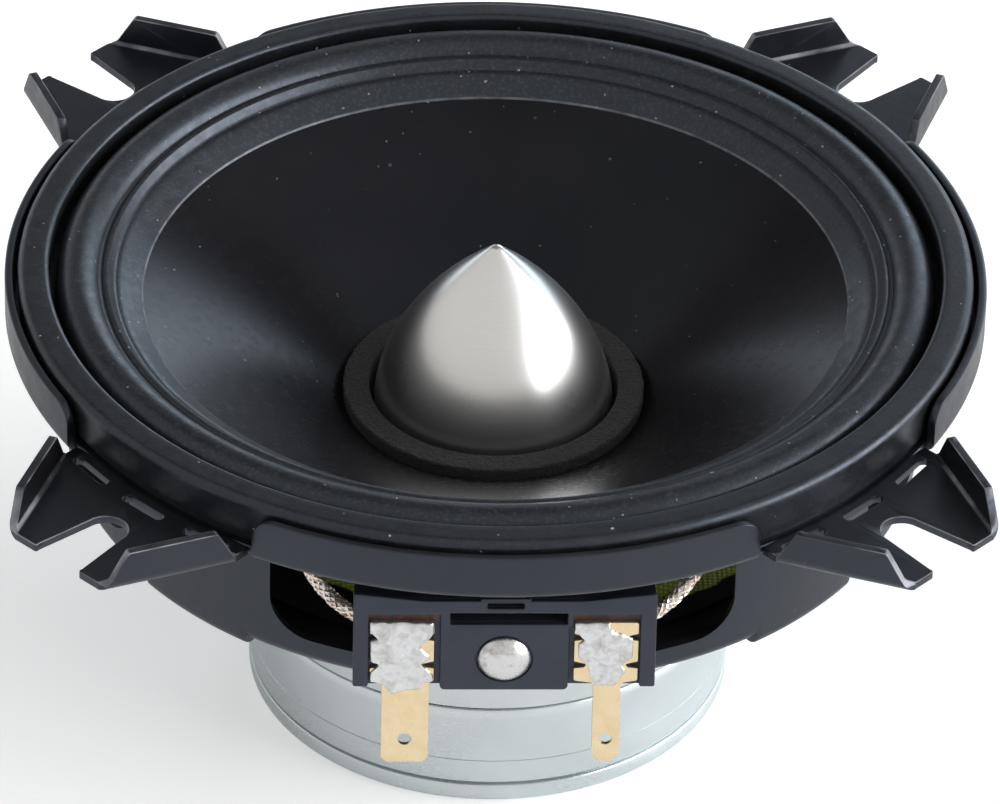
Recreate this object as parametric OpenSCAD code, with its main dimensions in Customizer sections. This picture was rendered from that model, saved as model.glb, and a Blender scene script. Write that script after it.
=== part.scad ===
// Car mid-woofer on a 10 cm (4 inch) stamped basket, with a fixed phase plug.
// Origin: centre of the magnet's back face. +Z points to the front, -Y to the terminals.

/* [Basket] */
// Outside diameter over the four upturned lips
frame_d = 101.6; // [100.6:0.2:103]
// Height of the flange's top face above the magnet's back face
depth = 46; // [45:0.5:48]
// Thickness of the stamped sheet
sheet = 0.9; // [0.8:0.1:1]
// Height of the upturned lips above the flange
lip_h = 4.3; // [3.5:0.1:5]
// Outside diameter of the basket's wall
wall_d = 89; // [88:0.2:90]
// Height of the underside of the spider ledge
ledge_z = 29.2; // [28.8:0.2:29.8]
// Width of each window in the wall
window_w = 47; // [44:0.5:48]

/* [Mounting ears] */
// Radius from the axis to the tips of the prongs
ear_tip_r = 63.3; // [62:0.1:64]
// Radius from the axis to the middle of a slot's round end
slot_r = 56.5; // [56:0.1:57.5]
// Width of the open slot at its round end
slot_w = 4.5; // [4.2:0.1:5]
// Width of the open slot at its mouth
slot_mouth = 5.4; // [5:0.1:5.8]
// Height of the upturned sides of an ear
ear_side_h = 3.6; // [3:0.1:4]

/* [Front] */
// Top of the front gasket above the flange
gasket_h = 5.4; // [5:0.1:6]
// Diameter of the cone at the inner edge of the surround
cone_edge_d = 73; // [72:0.2:74]
// Diameter of the phase plug
plug_d = 25; // [24.8:0.05:25.1]
// Height of the phase plug's tip above the flange
plug_tip = 7.05; // [6:0.05:8]
// Length of the plug's curved nose
nose_l = 20; // [18:0.5:21]

/* [Motor] */
// Diameter of the plates and the sleeve
motor_d = 50.8; // [50:0.2:51.6]
// Diameter of the pole
pole_d = 24.8; // [24.6:0.1:24.9]
// Inside diameter of the voice coil former
former_d = 25.7; // [25.65:0.05:25.8]
// Bore of the top plate
gap_d = 27.9; // [27.8:0.1:28.2]
// Height of the voice coil winding
winding_h = 7; // [6:0.5:8]

/* [Terminals] */
// Width of the terminal board
board_w = 30.4; // [30:0.2:31]
// Width of the positive blade
blade_pos_w = 4.8; // [4.6:0.1:4.8]
// Width of the negative blade
blade_neg_w = 2.8; // [2.6:0.1:2.8]
// Diameter of the braided leads
lead_d = 1.6; // [1.4:0.1:1.7]

/* [Hidden] */
$fn = 96;
eps = 0.01;

// Basket heights and radii
flange_under = depth - sheet;
flange_r = frame_d / 2 - sheet;
wall_r = wall_d / 2;
wall_in_r = wall_r - sheet;
ledge_top = ledge_z + sheet;
ledge_in_r = 34.6;
floor_under = 17.2;
floor_top = floor_under + sheet;
floor_edge_r = 26.4;
floor_hole_r = 16;
bend = 1.6;
ledge_bend = 0.5;
leg_drop = 0.9;
leg_w = 14.4;
window_low = ledge_top + 2;
window_high = flange_under - 1.5;
window_corner = 4;
window_top_corner = 1.5;

// Ears: half widths measured square to the ear's centre line
ear_tip_half = 6.4;
ear_base_r = 47;
ear_spread = 25;
side_l = 13.2;
side_slant = 1.7;
foot_slot_r = 51.2;
foot_slot_l = 5.4;
foot_slot_w = 1.1;
foot_slot_step = 9.2;

// Tab for the terminal rivet
tab_w = 12;
tab_top = 38.4;
board_back = wall_r + 0.3;
board_t = 1.2;
board_front = board_back + board_t;
board_top = depth - 4.5;
board_low = 30.8;
panel_low = 30.4;
panel_half = 6.45;
pocket_top = 39.8;
pocket_out = 13.65;
pocket_depth = 0.6;
corner_x = 8;
corner_rise = 0.9;
long_slot_x = [-5.5, 6.3];
long_slot_z = [38.6, 40];
short_slot_x = [-2, 2.2];
short_slot_z = [40.8, 41.2];
terminal_t = 0.5;
terminal_back = board_front - pocket_depth;
terminal_front = terminal_back + terminal_t;
rivet_z = 34.3;
rivet_r = 1.5;
blade_x_pos = -9.9;
blade_x_neg = 10.4;
blade_low = 21.2;
plate_low = 31.4;
plate_top = 38.8;
notch_z = [33.2, 36.6];
notch_l = 1.2;
notch_h = 0.55;
solder_z = 34.6;
solder_l = 7.4;
lead_x = 10.1;
lead_z = 35.2;
lead_hole_r = lead_d / 2 + 0.12;

// Suspension and cone
gasket_in_r = 46;
gasket_out_r = 49.4;
rubber = 0.5;
roll_r = 43.2;
roll_size = 2.3;
roll_z = depth + 2.75;
cone_h = 0.72;
cone_edge_r = cone_edge_d / 2;
cone_in_r = former_d / 2 + 0.25;
cone_out_r = 39.9;
cone_steps = 14;
ring_out_r = 15.7;
ring_top = depth - 10.2;
spider_out_r = 38.2;
spider_t = 0.4;
spider_waves = 5;
spider_wave_in = 16.4;
spider_wave_out = 34.4;
spider_swing = 0.75;
spider_drop = 0.8;
spider_skirt = 1.2;
glue_low = ledge_top - spider_drop - spider_skirt - 0.4;

// Motor
motor_r = motor_d / 2;
yoke_h = 4.5;
plate_under = 12.2;
pole_top = floor_top;
sleeve_low = 2.5;
sleeve_t = 0.75;
shoulder_r = motor_r - sleeve_t;
magnet_r = shoulder_r - 0.3;
former_in_r = former_d / 2;
former_out_r = former_in_r + 0.25;
winding_t = 0.4;
winding_mid = (plate_under + floor_under) / 2;
plug_r = plug_d / 2;
plug_top = depth + plug_tip;
screw_r = 2.5;
motor_rivet_r = 1.5;
motor_rivet_ring = 20.6;

// Top surface of the cone: a shallow parabola that rises from its neck
function cone_z(r) = depth - 13.6 + 0.7262 * (r - 12.9) - 0.00447 * pow(r - 12.9, 2);

cone_radii = [for (i = [0:cone_steps]) cone_in_r + (cone_out_r - cone_in_r) * i / cone_steps];

// Radius of the plug's nose at height z
function nose_r(z) = let (t = (plug_top - z) / nose_l) plug_r * (2 * t - t * t);

// Points of an arc in the r-z plane
function arc(c, r, a0, a1, n) = [for (i = [0:n]) let (a = a0 + (a1 - a0) * i / n) c + r * [cos(a), sin(a)]];

// Height of the spider's underside: even waves between two flat lands, the inner one lower
function spider_z(r) =
    let (t = (r - spider_wave_in) / (spider_wave_out - spider_wave_in))
    ledge_top - spider_drop * (1 - t) + spider_swing * (1 - cos(360 * spider_waves * t)) / 2;

// Centre line of the negative lead, from its solder joint through the board to the back of the cone
lead_route = [
    [lead_x, -terminal_front + 0.05, lead_z],
    [lead_x, 0.7 - board_back, lead_z + 0.05],
    [lead_x + 0.8, -43.1, lead_z + 0.2],
    [12.6, -42.0, 35.6],
    [14.7, -41.0, 36.0],
    [16.8, -39.8, 36.9],
    [18.6, -38.9, 38.6],
    [19.9, -37.6, 40.4],
    [20.4, -35.4, 41.8],
    [20.0, -32.6, 42.3],
    [18.9, -29.8, 41.8],
    [17.5, -27.0, 40.7],
    [16.1, -24.2, 39.4],
    [14.8, -21.6, 38.2],
    [13.6, -19.3, 37.2],
    [12.6, -17.5, 36.2]
];

function mirror_x(points) = [for (p = points) [-p[0], p[1], p[2]]];
function unit(v) = v / norm(v);

// Direction of a route at point i
function heading(p, i) = unit(p[min(i + 1, len(p) - 1)] - p[max(i - 1, 0)]);

// A tube of eight sides swept along the points p
module tube(p, r, sides = 8) {
    rings = len(p);
    points = [
        for (i = [0:rings - 1])
            let (t = heading(p, i), n = unit(cross(t, [0, 0, 1])), b = cross(n, t))
                for (k = [0:sides - 1])
                    p[i] + r * (cos(360 * k / sides) * n + sin(360 * k / sides) * b)
    ];
    walls = [
        for (i = [0:rings - 2], k = [0:sides - 1])
            let (a = i * sides + k, b = i * sides + (k + 1) % sides)
                each [[a, a + sides, b], [b, a + sides, b + sides]]
    ];
    caps = [[for (k = [0:sides - 1]) k], [for (k = [0:sides - 1]) rings * sides - 1 - k]];
    polyhedron(points, concat(walls, caps));
}

module ring(out_r, in_r, low, high) {
    rotate_extrude()
        polygon([[in_r, low], [out_r, low], [out_r, high], [in_r, high]]);
}

// A flat shape with rounded corners, drawn without offset so that its corners stay true arcs
module rounded_box(w, low, high, r_low, r_high) {
    difference() {
        translate([-w / 2, low])
            square([w, high - low]);
        for (side = [-1, 1]) {
            corner(side * (w / 2), low, side, 1, r_low);
            corner(side * (w / 2), high, side, -1, r_high);
        }
    }
}

// The waste outside a rounded corner at x, y; the corner opens towards -side and towards up
module corner(x, y, side, up, r) {
    difference() {
        translate([x - (side > 0 ? r : 0), y - (up > 0 ? 0 : r)])
            square([r + (side > 0 ? eps : 0), r]);
        translate([x - side * r, y + up * r])
            circle(r);
    }
}

// Basket

module basket_shell() {
    rotate_extrude()
        polygon(concat(
            [[flange_r, depth]],
            arc([wall_in_r + bend, depth - bend], bend, 90, 180, 5),
            arc([wall_in_r - ledge_bend, ledge_top + ledge_bend], ledge_bend, 0, -90, 4),
            [[ledge_in_r, ledge_top], [floor_edge_r, floor_top]],
            [[floor_hole_r, floor_top], [floor_hole_r, floor_under]],
            [[floor_edge_r + 0.5, floor_under], [ledge_in_r + 0.5, ledge_z]],
            arc([wall_r - ledge_bend - sheet, ledge_z + ledge_bend + sheet], ledge_bend + sheet, -90, 0, 6),
            arc([wall_r + bend - sheet, flange_under - bend + sheet], bend - sheet, 180, 90, 4),
            [[flange_r, flange_under]]
        ));
}

// The four legs stand lower than the rail between them
module legs() {
    corner_r = ledge_bend + sheet;
    low = ledge_z - leg_drop;
    inside = ledge_in_r - 0.2;
    intersection() {
        rotate_extrude()
            polygon(concat(
                [[inside, ledge_z + 0.3], [inside, low]],
                arc([wall_r - corner_r, low + corner_r], corner_r, -90, 0, 6),
                [[wall_r, ledge_z + corner_r], [wall_r - 0.4, ledge_z + corner_r]],
                [[wall_r - corner_r - 0.4, ledge_z + 0.3]]
            ));
        for (a = [45:90:315])
            rotate([0, 0, a])
                translate([ledge_in_r - 3, -leg_w / 2, low - 1])
                    cube([wall_r - ledge_in_r + 4, leg_w, 5]);
    }
}

// The flange's rim turned up all round, before it is cut into four lips
module lip_ring() {
    rotate_extrude()
        polygon(concat(
            [[flange_r - 1, depth], [flange_r - 1, flange_under]],
            arc([frame_d / 2 - 1, flange_under + 1], 1, -90, 0, 5),
            [[frame_d / 2, depth + lip_h - 0.2], [frame_d / 2 - 0.2, depth + lip_h]],
            [[flange_r + 0.1, depth + lip_h], [flange_r, depth + lip_h - 0.1], [flange_r, depth]]
        ));
}

module lips() {
    intersection() {
        lip_ring();
        for (a = [0:90:270])
            rotate([0, 0, a])
                rotate([90, 0, 0])
                    linear_extrude(frame_d)
                        rounded_box(frame_d / 2, flange_under - 1, depth + lip_h, 0.5, 2.2);
    }
}

// An ear lies along +X here: [distance from the axis, distance from its centre line]
module ear_outline() {
    base_half = ear_tip_half + (ear_tip_r - ear_base_r) * tan(ear_spread);
    difference() {
        polygon([
            [ear_base_r, -base_half], [ear_tip_r - 0.6, -ear_tip_half], [ear_tip_r, -ear_tip_half + 0.9],
            [ear_tip_r, ear_tip_half - 0.9], [ear_tip_r - 0.6, ear_tip_half], [ear_base_r, base_half]
        ]);
        translate([slot_r, 0])
            circle(slot_w / 2);
        polygon([
            [slot_r, -slot_w / 2], [ear_tip_r - 0.7, -slot_mouth / 2], [ear_tip_r + 1, -slot_mouth / 2 - 1],
            [ear_tip_r + 1, slot_mouth / 2 + 1], [ear_tip_r - 0.7, slot_mouth / 2], [slot_r, slot_w / 2]
        ]);
        circle(ear_base_r);
    }
}

// One upturned side of an ear, standing on the edge that runs back from the tip
module ear_side(side) {
    translate([ear_tip_r - 0.7, side * ear_tip_half, 0])
        rotate([0, 0, 180 - side * ear_spread])
            rotate([90, 0, 0])
                translate([0, 0, side > 0 ? 0 : -sheet])
                    linear_extrude(sheet)
                        polygon([
                            [0.1, flange_under], [side_l, flange_under], [side_l - 0.2, depth + 0.6],
                            [side_l - side_slant, depth + ear_side_h - 0.2],
                            [side_l - side_slant - 0.4, depth + ear_side_h],
                            [side_slant + 0.6, depth + ear_side_h], [side_slant, depth + ear_side_h - 0.3],
                            [0.1, depth]
                        ]);
}

module foot_slot() {
    linear_extrude(3, center = true) {
        square([foot_slot_w, foot_slot_l - foot_slot_w], center = true);
        for (s = [-1, 1])
            translate([0, s * (foot_slot_l - foot_slot_w) / 2])
                circle(foot_slot_w / 2);
    }
}

module ear() {
    translate([0, 0, flange_under])
        linear_extrude(sheet)
            ear_outline();
    for (side = [-1, 1])
        ear_side(side);
}

module window() {
    rotate([90, 0, 0])
        translate([0, 0, ledge_in_r])
            linear_extrude(wall_r - ledge_in_r + 2)
                rounded_box(window_w, window_low, window_high, window_corner, window_top_corner);
}

module basket() {
    color([0.12, 0.13, 0.15])
        difference() {
            union() {
                difference() {
                    basket_shell();
                    for (a = [0:90:270])
                        rotate([0, 0, a])
                            window();
                }
                legs();
                lips();
                for (a = [45:90:315])
                    rotate([0, 0, a])
                        ear();
                translate([-tab_w / 2, -board_back, ledge_top + 1])
                    cube([tab_w, sheet, tab_top - ledge_top - 1]);
            }
            for (a = [45:90:315], s = [-1:1])
                rotate([0, 0, a + s * foot_slot_step])
                    translate([foot_slot_r, 0, depth])
                        foot_slot();
            translate([0, -wall_in_r + 2, rivet_z])
                rotate([90, 0, 0])
                    cylinder(h = 6, r = rivet_r);
            for (a = [45:90:315])
                rotate([0, 0, a])
                    translate([motor_rivet_ring, 0, floor_under - 1])
                        cylinder(h = sheet + 2, r = motor_rivet_r);
        }
}

// Suspension

module front_gasket() {
    top = depth + gasket_h;
    low = depth + rubber;
    color([0.16, 0.16, 0.17])
        rotate_extrude()
            polygon(concat(
                [[gasket_in_r, low], [gasket_out_r - 0.2, low], [gasket_out_r, low + 0.2]],
                arc([gasket_out_r - 1, top - 1], 1, 0, 90, 6),
                arc([gasket_in_r + 0.5, top - 0.5], 0.5, 90, 180, 4)
            ));
}

module surround() {
    foot_out = gasket_out_r - 0.4;
    roll_out = roll_r + roll_size;
    land_low = cone_z(cone_edge_r);
    color([0.17, 0.17, 0.18])
        rotate_extrude()
            polygon(concat(
                [[foot_out, depth], [foot_out, depth + rubber], [roll_out + 0.1, depth + rubber]],
                arc([roll_r, roll_z], roll_size, 0, 152, 14),
                [[cone_out_r, cone_z(cone_out_r) + rubber + 0.35]],
                [[cone_edge_r + 2.8, cone_z(cone_edge_r + 2.8) + rubber]],
                [[cone_edge_r, land_low + rubber - 0.15], [cone_edge_r, land_low]],
                [for (i = [1:5]) let (r = cone_edge_r + (cone_out_r - cone_edge_r) * i / 5) [r, cone_z(r)]],
                arc([roll_r, roll_z], roll_size - rubber, 156, 0, 14),
                [[roll_out - rubber, depth]]
            ));
}

module spider() {
    top = ledge_top + spider_t;
    neck = ledge_top - spider_drop;
    neck_r = former_out_r + spider_t;
    rings = spider_waves * 8;
    waves = [for (i = [0:rings]) spider_wave_in + (spider_wave_out - spider_wave_in) * i / rings];
    color([0.55, 0.56, 0.22])
        rotate_extrude()
            polygon(concat(
                [[former_out_r, neck - spider_skirt], [neck_r, neck - spider_skirt], [neck_r, neck]],
                [for (r = waves) [r, spider_z(r)]],
                [[spider_out_r, ledge_top], [spider_out_r, top]],
                [for (i = [rings:-1:0]) [waves[i], spider_z(waves[i]) + spider_t]],
                [[former_out_r, neck + spider_t]]
            ));
}

// Motor

module top_plate() {
    color([0.78, 0.8, 0.82])
        difference() {
            rotate_extrude()
                polygon([
                    [gap_d / 2, plate_under], [motor_r - 0.3, plate_under], [motor_r, plate_under + 0.3],
                    [motor_r, floor_under - 0.5], [motor_r - 0.5, floor_under], [gap_d / 2, floor_under]
                ]);
            for (a = [45:90:315])
                rotate([0, 0, a])
                    translate([motor_rivet_ring, 0, plate_under + 0.8])
                        cylinder(h = 6, r = motor_rivet_r);
        }
}

module magnet() {
    color([0.2, 0.2, 0.21])
        ring(magnet_r, gap_d / 2 + 1.6, yoke_h, plate_under);
}

module yoke() {
    color([0.78, 0.8, 0.82])
        difference() {
            rotate_extrude()
                polygon(concat(
                    [[0, 0]],
                    arc([motor_r - 0.9, 0.9], 0.9, -90, 0, 5),
                    [[motor_r, sleeve_low - 0.3], [motor_r - 0.3, sleeve_low]],
                    [[shoulder_r, sleeve_low], [shoulder_r, yoke_h]],
                    [[pole_d / 2, yoke_h], [pole_d / 2, pole_top - 0.4]],
                    [[pole_d / 2 - 0.4, pole_top], [0, pole_top]]
                ));
            translate([0, 0, -1])
                cylinder(h = pole_top + 2, r = screw_r + 0.2);
            translate([0, 0, -eps])
                cylinder(h = 3, r1 = 5.3, r2 = 2.3);
        }
}

module magnet_sleeve() {
    step_z = 5.5;
    color([0.78, 0.8, 0.82])
        rotate_extrude()
            polygon([
                [shoulder_r, sleeve_low], [motor_r - 0.25, sleeve_low], [motor_r, sleeve_low + 0.25],
                [motor_r, step_z - 0.2], [motor_r - 0.18, step_z], [motor_r, step_z + 0.2],
                [motor_r, plate_under - 0.3], [motor_r - 0.3, plate_under], [shoulder_r, plate_under]
            ]);
}

module basket_rivets() {
    head_h = 0.9;
    color([0.75, 0.76, 0.78])
        for (a = [45:90:315])
            rotate([0, 0, a])
                translate([motor_rivet_ring, 0, 0]) {
                    translate([0, 0, plate_under + 0.8])
                        cylinder(h = floor_top - plate_under - 0.8, r = motor_rivet_r);
                    translate([0, 0, floor_top])
                        rotate_extrude()
                            polygon(concat(
                                [[0, 0], [1.7 + head_h, 0]],
                                arc([1.7, 0], head_h, 0, 90, 4),
                                [[0, head_h]]
                            ));
                }
}

module phase_plug() {
    steps = 28;
    rim = 0.35;
    nose_low = plug_top - nose_l;
    tip = [for (i = [0:steps]) let (t = pow(i / steps, 1.3)) plug_top - t * nose_l];
    color([0.83, 0.84, 0.84])
        difference() {
            rotate_extrude()
                polygon(concat(
                    [[0, plug_top]],
                    [for (i = [1:steps]) [nose_r(tip[i]), tip[i]]],
                    [[plug_r, pole_top + rim], [plug_r - rim, pole_top], [0, pole_top]]
                ));
            translate([0, 0, pole_top - 1])
                cylinder(h = 11, r = screw_r);
        }
}

module plug_screw() {
    head_h = 2.7;
    color([0.25, 0.25, 0.26])
        difference() {
            rotate_extrude()
                polygon([
                    [0, 0.2], [4.7, 0.2], [4.8, 0.4], [screw_r, head_h], [screw_r, pole_top + 8.6],
                    [screw_r - 0.6, pole_top + 9.2], [0, pole_top + 9.2]
                ]);
            translate([0, 0, -1])
                cylinder(h = 3.2, r = 1.75, $fn = 6);
        }
}

// Terminals

module board_pocket(x0, x1) {
    translate([x0, -board_front - 1, panel_low - 1])
        cube([x1 - x0, pocket_depth + 1, pocket_top - panel_low + 1]);
}

// A slot in the front of the board, between two x and two z values
module board_slot(x, z, deep) {
    translate([x[0], -board_front - 1, z[0]])
        cube([x[1] - x[0], deep + 1, z[1] - z[0]]);
}

// The front face rises a little towards its two upper corners
module board_corners() {
    translate([0, -board_back, 0])
        rotate([90, 0, 0])
            linear_extrude(board_t)
                for (s = [-1, 1])
                    polygon([
                        [s * corner_x, board_top - 1], [s * board_w / 2, board_top - 1],
                        [s * board_w / 2, board_top + corner_rise], [s * corner_x, board_top]
                    ]);
}

module terminal_board() {
    color([0.14, 0.15, 0.17])
        difference() {
            union() {
                translate([-board_w / 2, -board_front, board_low])
                    cube([board_w, board_t, board_top - board_low]);
                translate([-panel_half, -board_front, panel_low])
                    cube([2 * panel_half, board_t, 1]);
                board_corners();
                // Shelf that runs back from the top edge to the wall
                difference() {
                    translate([-board_w / 2, -board_front, board_top - 0.8])
                        cube([board_w, board_front - 41.4, 0.8]);
                    translate([0, 0, board_top - 2])
                        cylinder(h = 3, r = wall_r + 0.1, $fn = 128);
                }
            }
            board_pocket(-pocket_out, -panel_half);
            board_pocket(panel_half + 0.4, pocket_out);
            board_slot(long_slot_x, long_slot_z, board_t + 1);
            board_slot(short_slot_x, short_slot_z, board_t / 2);
            translate([0, -board_back + 1, rivet_z])
                rotate([90, 0, 0])
                    cylinder(h = board_t + 2, r = rivet_r);
            for (s = [-1, 1])
                translate([s * lead_x, -board_back + 1, lead_z])
                    rotate([90, 0, 0])
                        cylinder(h = board_t + 2, r = lead_hole_r);
        }
}

module terminal_rivet() {
    head_r = 2.7;
    head_h = 1.25;
    ball = (head_r * head_r + head_h * head_h) / (2 * head_h);
    back = board_back - sheet;
    color([0.86, 0.86, 0.87])
        translate([0, 0, rivet_z])
            rotate([90, 0, 0])
                rotate_extrude()
                    polygon(concat(
                        [[0, back - 0.7], [2, back - 0.7], [2.2, back - 0.5], [2.2, back], [rivet_r, back]],
                        [[rivet_r, board_front]],
                        arc([0, board_front + head_h - ball], ball, 90 - asin(head_r / ball), 90, 8)
                    ));
}

// Soldering plate in a board pocket, with a blade hanging from it
module terminal(x0, x1, blade_x, blade_w, round_end, hole_r, wire_x) {
    translate([0, -terminal_back, 0])
        rotate([90, 0, 0])
            linear_extrude(terminal_t)
                difference() {
                    union() {
                        translate([x0, plate_low])
                            square([x1 - x0, plate_top - plate_low]);
                        translate([blade_x - blade_w / 2, blade_low + (round_end ? blade_w / 2 : 0)])
                            square([blade_w, plate_low - blade_low]);
                        if (round_end)
                            translate([blade_x, blade_low + blade_w / 2])
                                circle(blade_w / 2);
                    }
                    translate([blade_x, blade_low + 2.9])
                        circle(hole_r);
                    translate([wire_x, lead_z])
                        circle(lead_hole_r);
                    if (!round_end)
                        for (s = [-1, 1])
                            translate([blade_x + s * blade_w / 2, blade_low])
                                rotate(45)
                                    square(0.9, center = true);
                    for (z = notch_z) {
                        translate([x0 - eps, z])
                            square([notch_l, notch_h]);
                        translate([x1 - notch_l + eps, z])
                            square([notch_l, notch_h]);
                    }
                }
}

module terminal_positive() {
    color([0.93, 0.82, 0.58])
        terminal(-pocket_out + 0.15, -panel_half - 0.6, blade_x_pos, blade_pos_w, false, 0.7, -lead_x);
}

module terminal_negative() {
    color([0.93, 0.82, 0.58])
        terminal(panel_half + 0.55, pocket_out - 0.2, blade_x_neg, blade_neg_w, true, 0.65, lead_x);
}

// A low pad of solder on the soldering plate, in two steps
module solder(x, w) {
    translate([x, -terminal_front, solder_z])
        rotate([90, 0, 0])
            for (step = [[0, 0.4], [0.6, 0.75]])
                linear_extrude(step[1]) {
                    square([w - 2 * step[0], solder_l - w], center = true);
                    for (s = [-1, 1])
                        translate([0, s * (solder_l - w) / 2])
                            circle(w / 2 - step[0]);
                }
}

module solder_positive() {
    color([0.9, 0.9, 0.92])
        solder(blade_x_pos - 0.15, 5.2);
}

module solder_negative() {
    color([0.9, 0.9, 0.92])
        solder(blade_x_neg + 0.05, 5);
}

module lead_positive() {
    color([0.8, 0.76, 0.7])
        tube(mirror_x(lead_route), lead_d / 2);
}

module lead_negative() {
    color([0.8, 0.76, 0.7])
        tube(lead_route, lead_d / 2);
}

// Moving parts

module cone() {
    color([0.1, 0.1, 0.11])
        rotate_extrude()
            polygon(concat(
                [for (r = cone_radii) [r, cone_z(r)]],
                [for (i = [cone_steps:-1:0]) [cone_radii[i], cone_z(cone_radii[i]) - cone_h]]
            ));
}

// Everything above the back face of the cone
module above_cone() {
    rotate_extrude()
        polygon(concat(
            [[0, cone_z(cone_in_r) - cone_h]],
            [for (r = cone_radii) [r, cone_z(r) - cone_h]],
            [[cone_out_r, depth + 9], [0, depth + 9]]
        ));
}

module dust_ring() {
    in_r = plug_r + 0.45;
    color([0.13, 0.12, 0.11])
        rotate_extrude()
            polygon([
                [in_r, cone_z(cone_in_r) + 0.05], [cone_in_r, cone_z(cone_in_r) + 0.05],
                [ring_out_r, cone_z(ring_out_r)], [ring_out_r, ring_top - 0.2],
                [ring_out_r - 0.2, ring_top], [in_r, ring_top]
            ]);
}

module voice_coil_former() {
    color([0.72, 0.6, 0.35])
        ring(former_out_r, former_in_r, winding_mid - winding_h / 2 - 0.3, cone_z(cone_in_r) - 0.05);
}

module voice_coil_winding() {
    color([0.72, 0.38, 0.2])
        translate([0, 0, winding_mid])
            ring(former_out_r + winding_t, former_out_r, -winding_h / 2, winding_h / 2);
}

module former_collar() {
    color([0.62, 0.5, 0.32])
        ring(former_out_r + 0.15, former_out_r, winding_mid + winding_h / 2 + 0.3, glue_low - 0.3);
}

module neck_glue() {
    top = cone_z(cone_in_r) - cone_h;
    color([0.08, 0.08, 0.08])
        difference() {
            rotate_extrude()
                polygon([
                    [cone_in_r, top - 0.3], [cone_in_r + 0.3, top - 0.3],
                    [cone_in_r + 1, top + 0.6], [cone_in_r, top + 0.6]
                ]);
            above_cone();
        }
}

module spider_glue() {
    color([0.08, 0.08, 0.08])
        ring(former_out_r + 0.45, former_out_r, glue_low, glue_low + 0.4);
}

// Drops of glue on the back of the cone that hold the ends of the leads
module lead_anchors() {
    last = len(lead_route) - 1;
    end = lead_route[last];
    way = unit(end - lead_route[last - 1]);
    color([0.07, 0.07, 0.07])
        for (side = [0, 1])
            mirror([side, 0, 0])
                difference() {
                    translate(end + [-0.2, 0.3, 0.3])
                        sphere(1.9, $fn = 48);
                    above_cone();
                    translate(end + 0.02 * way)
                        rotate([0, acos(-way[2]), atan2(-way[1], -way[0])])
                            cylinder(h = 4, r = lead_d / 2 + 0.03);
                }
}

basket();
front_gasket();
surround();
spider();
top_plate();
magnet();
yoke();
magnet_sleeve();
basket_rivets();
phase_plug();
plug_screw();
terminal_board();
terminal_rivet();
terminal_positive();
terminal_negative();
solder_positive();
solder_negative();
lead_positive();
lead_negative();
cone();
dust_ring();
voice_coil_former();
voice_coil_winding();
former_collar();
neck_glue();
spider_glue();
lead_anchors();
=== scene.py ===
# Car mid-woofer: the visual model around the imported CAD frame.
from math import acos, asin, atan2, ceil, cos, degrees, exp, hypot, pi, radians, sin, sqrt, tan

import bmesh
import bpy
import numpy as np
from mathutils import Matrix, Vector, noise
from mathutils.geometry import tessellate_polygon


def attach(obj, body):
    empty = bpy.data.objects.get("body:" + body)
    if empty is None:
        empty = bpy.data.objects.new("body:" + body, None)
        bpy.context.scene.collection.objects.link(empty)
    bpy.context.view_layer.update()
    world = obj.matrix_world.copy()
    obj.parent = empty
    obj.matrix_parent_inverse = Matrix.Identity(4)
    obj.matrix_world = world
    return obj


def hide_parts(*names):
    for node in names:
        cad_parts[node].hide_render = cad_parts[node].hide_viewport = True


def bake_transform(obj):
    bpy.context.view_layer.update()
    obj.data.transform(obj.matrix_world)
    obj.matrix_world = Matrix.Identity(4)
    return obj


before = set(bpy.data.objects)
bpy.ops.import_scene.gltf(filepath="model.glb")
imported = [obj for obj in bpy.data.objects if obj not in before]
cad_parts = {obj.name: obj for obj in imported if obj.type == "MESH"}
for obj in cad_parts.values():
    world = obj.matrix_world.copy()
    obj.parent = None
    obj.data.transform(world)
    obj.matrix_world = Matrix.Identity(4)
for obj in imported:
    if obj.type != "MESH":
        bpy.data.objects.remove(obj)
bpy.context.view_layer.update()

MM = 0.001
FIXED, MOVING = "chassis", "cone_assembly"
SIDES, CORNERS = (0, 90, 180, 270), (45, 135, 225, 315)

# ---- sizes, in mm, as in part.scad
depth = 46.0
sheet = 0.9
flange_under = depth - sheet
rim_r = 49.9
lip_top = depth + 4.3
lip_r = 50.8
wall_r = 44.5
wall_in_r = wall_r - sheet
bend_r = 1.6
ledge_bend = 0.5
outer_bend = ledge_bend + sheet
ledge_z = 29.2
ledge_top = ledge_z + sheet
floor_z = 17.2
floor_top = floor_z + sheet
ear_tip_r = 63.3
ear_tip_half = 6.4
plug_r = 12.5
plug_tip = depth + 7.05
nose_l = 20.0
motor_r = 25.4
pole_r = 12.4
pole_top = 18.1
tab_back = 43.9
board_back = 44.8
board_front = 46.0
board_half = 15.2
board_low = 30.8
board_top = 41.5
panel_half = 6.45
pocket_top = 39.85
rivet_z = 34.3
lead_x = 10.1
lead_z = 35.2
terminal_front = board_front - 0.1


def cone_z(r):
    """Height of the cone's face at a radius."""
    out = r - 12.9
    return depth - 13.6 + 0.7262 * out - 0.00447 * out ** 2


# ---- camera
def add_camera():
    """A long lens on the terminals' side that looks down at the driver."""
    elevation, azimuth, roll = radians(35.411), radians(-2.177), radians(1.312)
    distance, target = 0.951402, Vector((0.000728, 0, 0.033258))
    level = cos(elevation)
    back = Vector((sin(azimuth) * level, -cos(azimuth) * level, sin(elevation)))
    right = Vector((cos(azimuth), sin(azimuth), 0))
    up = back.cross(right)
    x = cos(roll) * right + sin(roll) * up
    y = -sin(roll) * right + cos(roll) * up
    data = bpy.data.cameras.new("camera")
    data.sensor_width, data.lens = 36, 327.58
    data.clip_start, data.clip_end = 0.05, 20
    cam = bpy.data.objects.new("camera", data)
    bpy.context.scene.collection.objects.link(cam)
    cam.matrix_world = Matrix((x, y, back)).transposed().to_4x4()
    cam.location = target + back * distance
    bpy.context.scene.camera = cam


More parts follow.
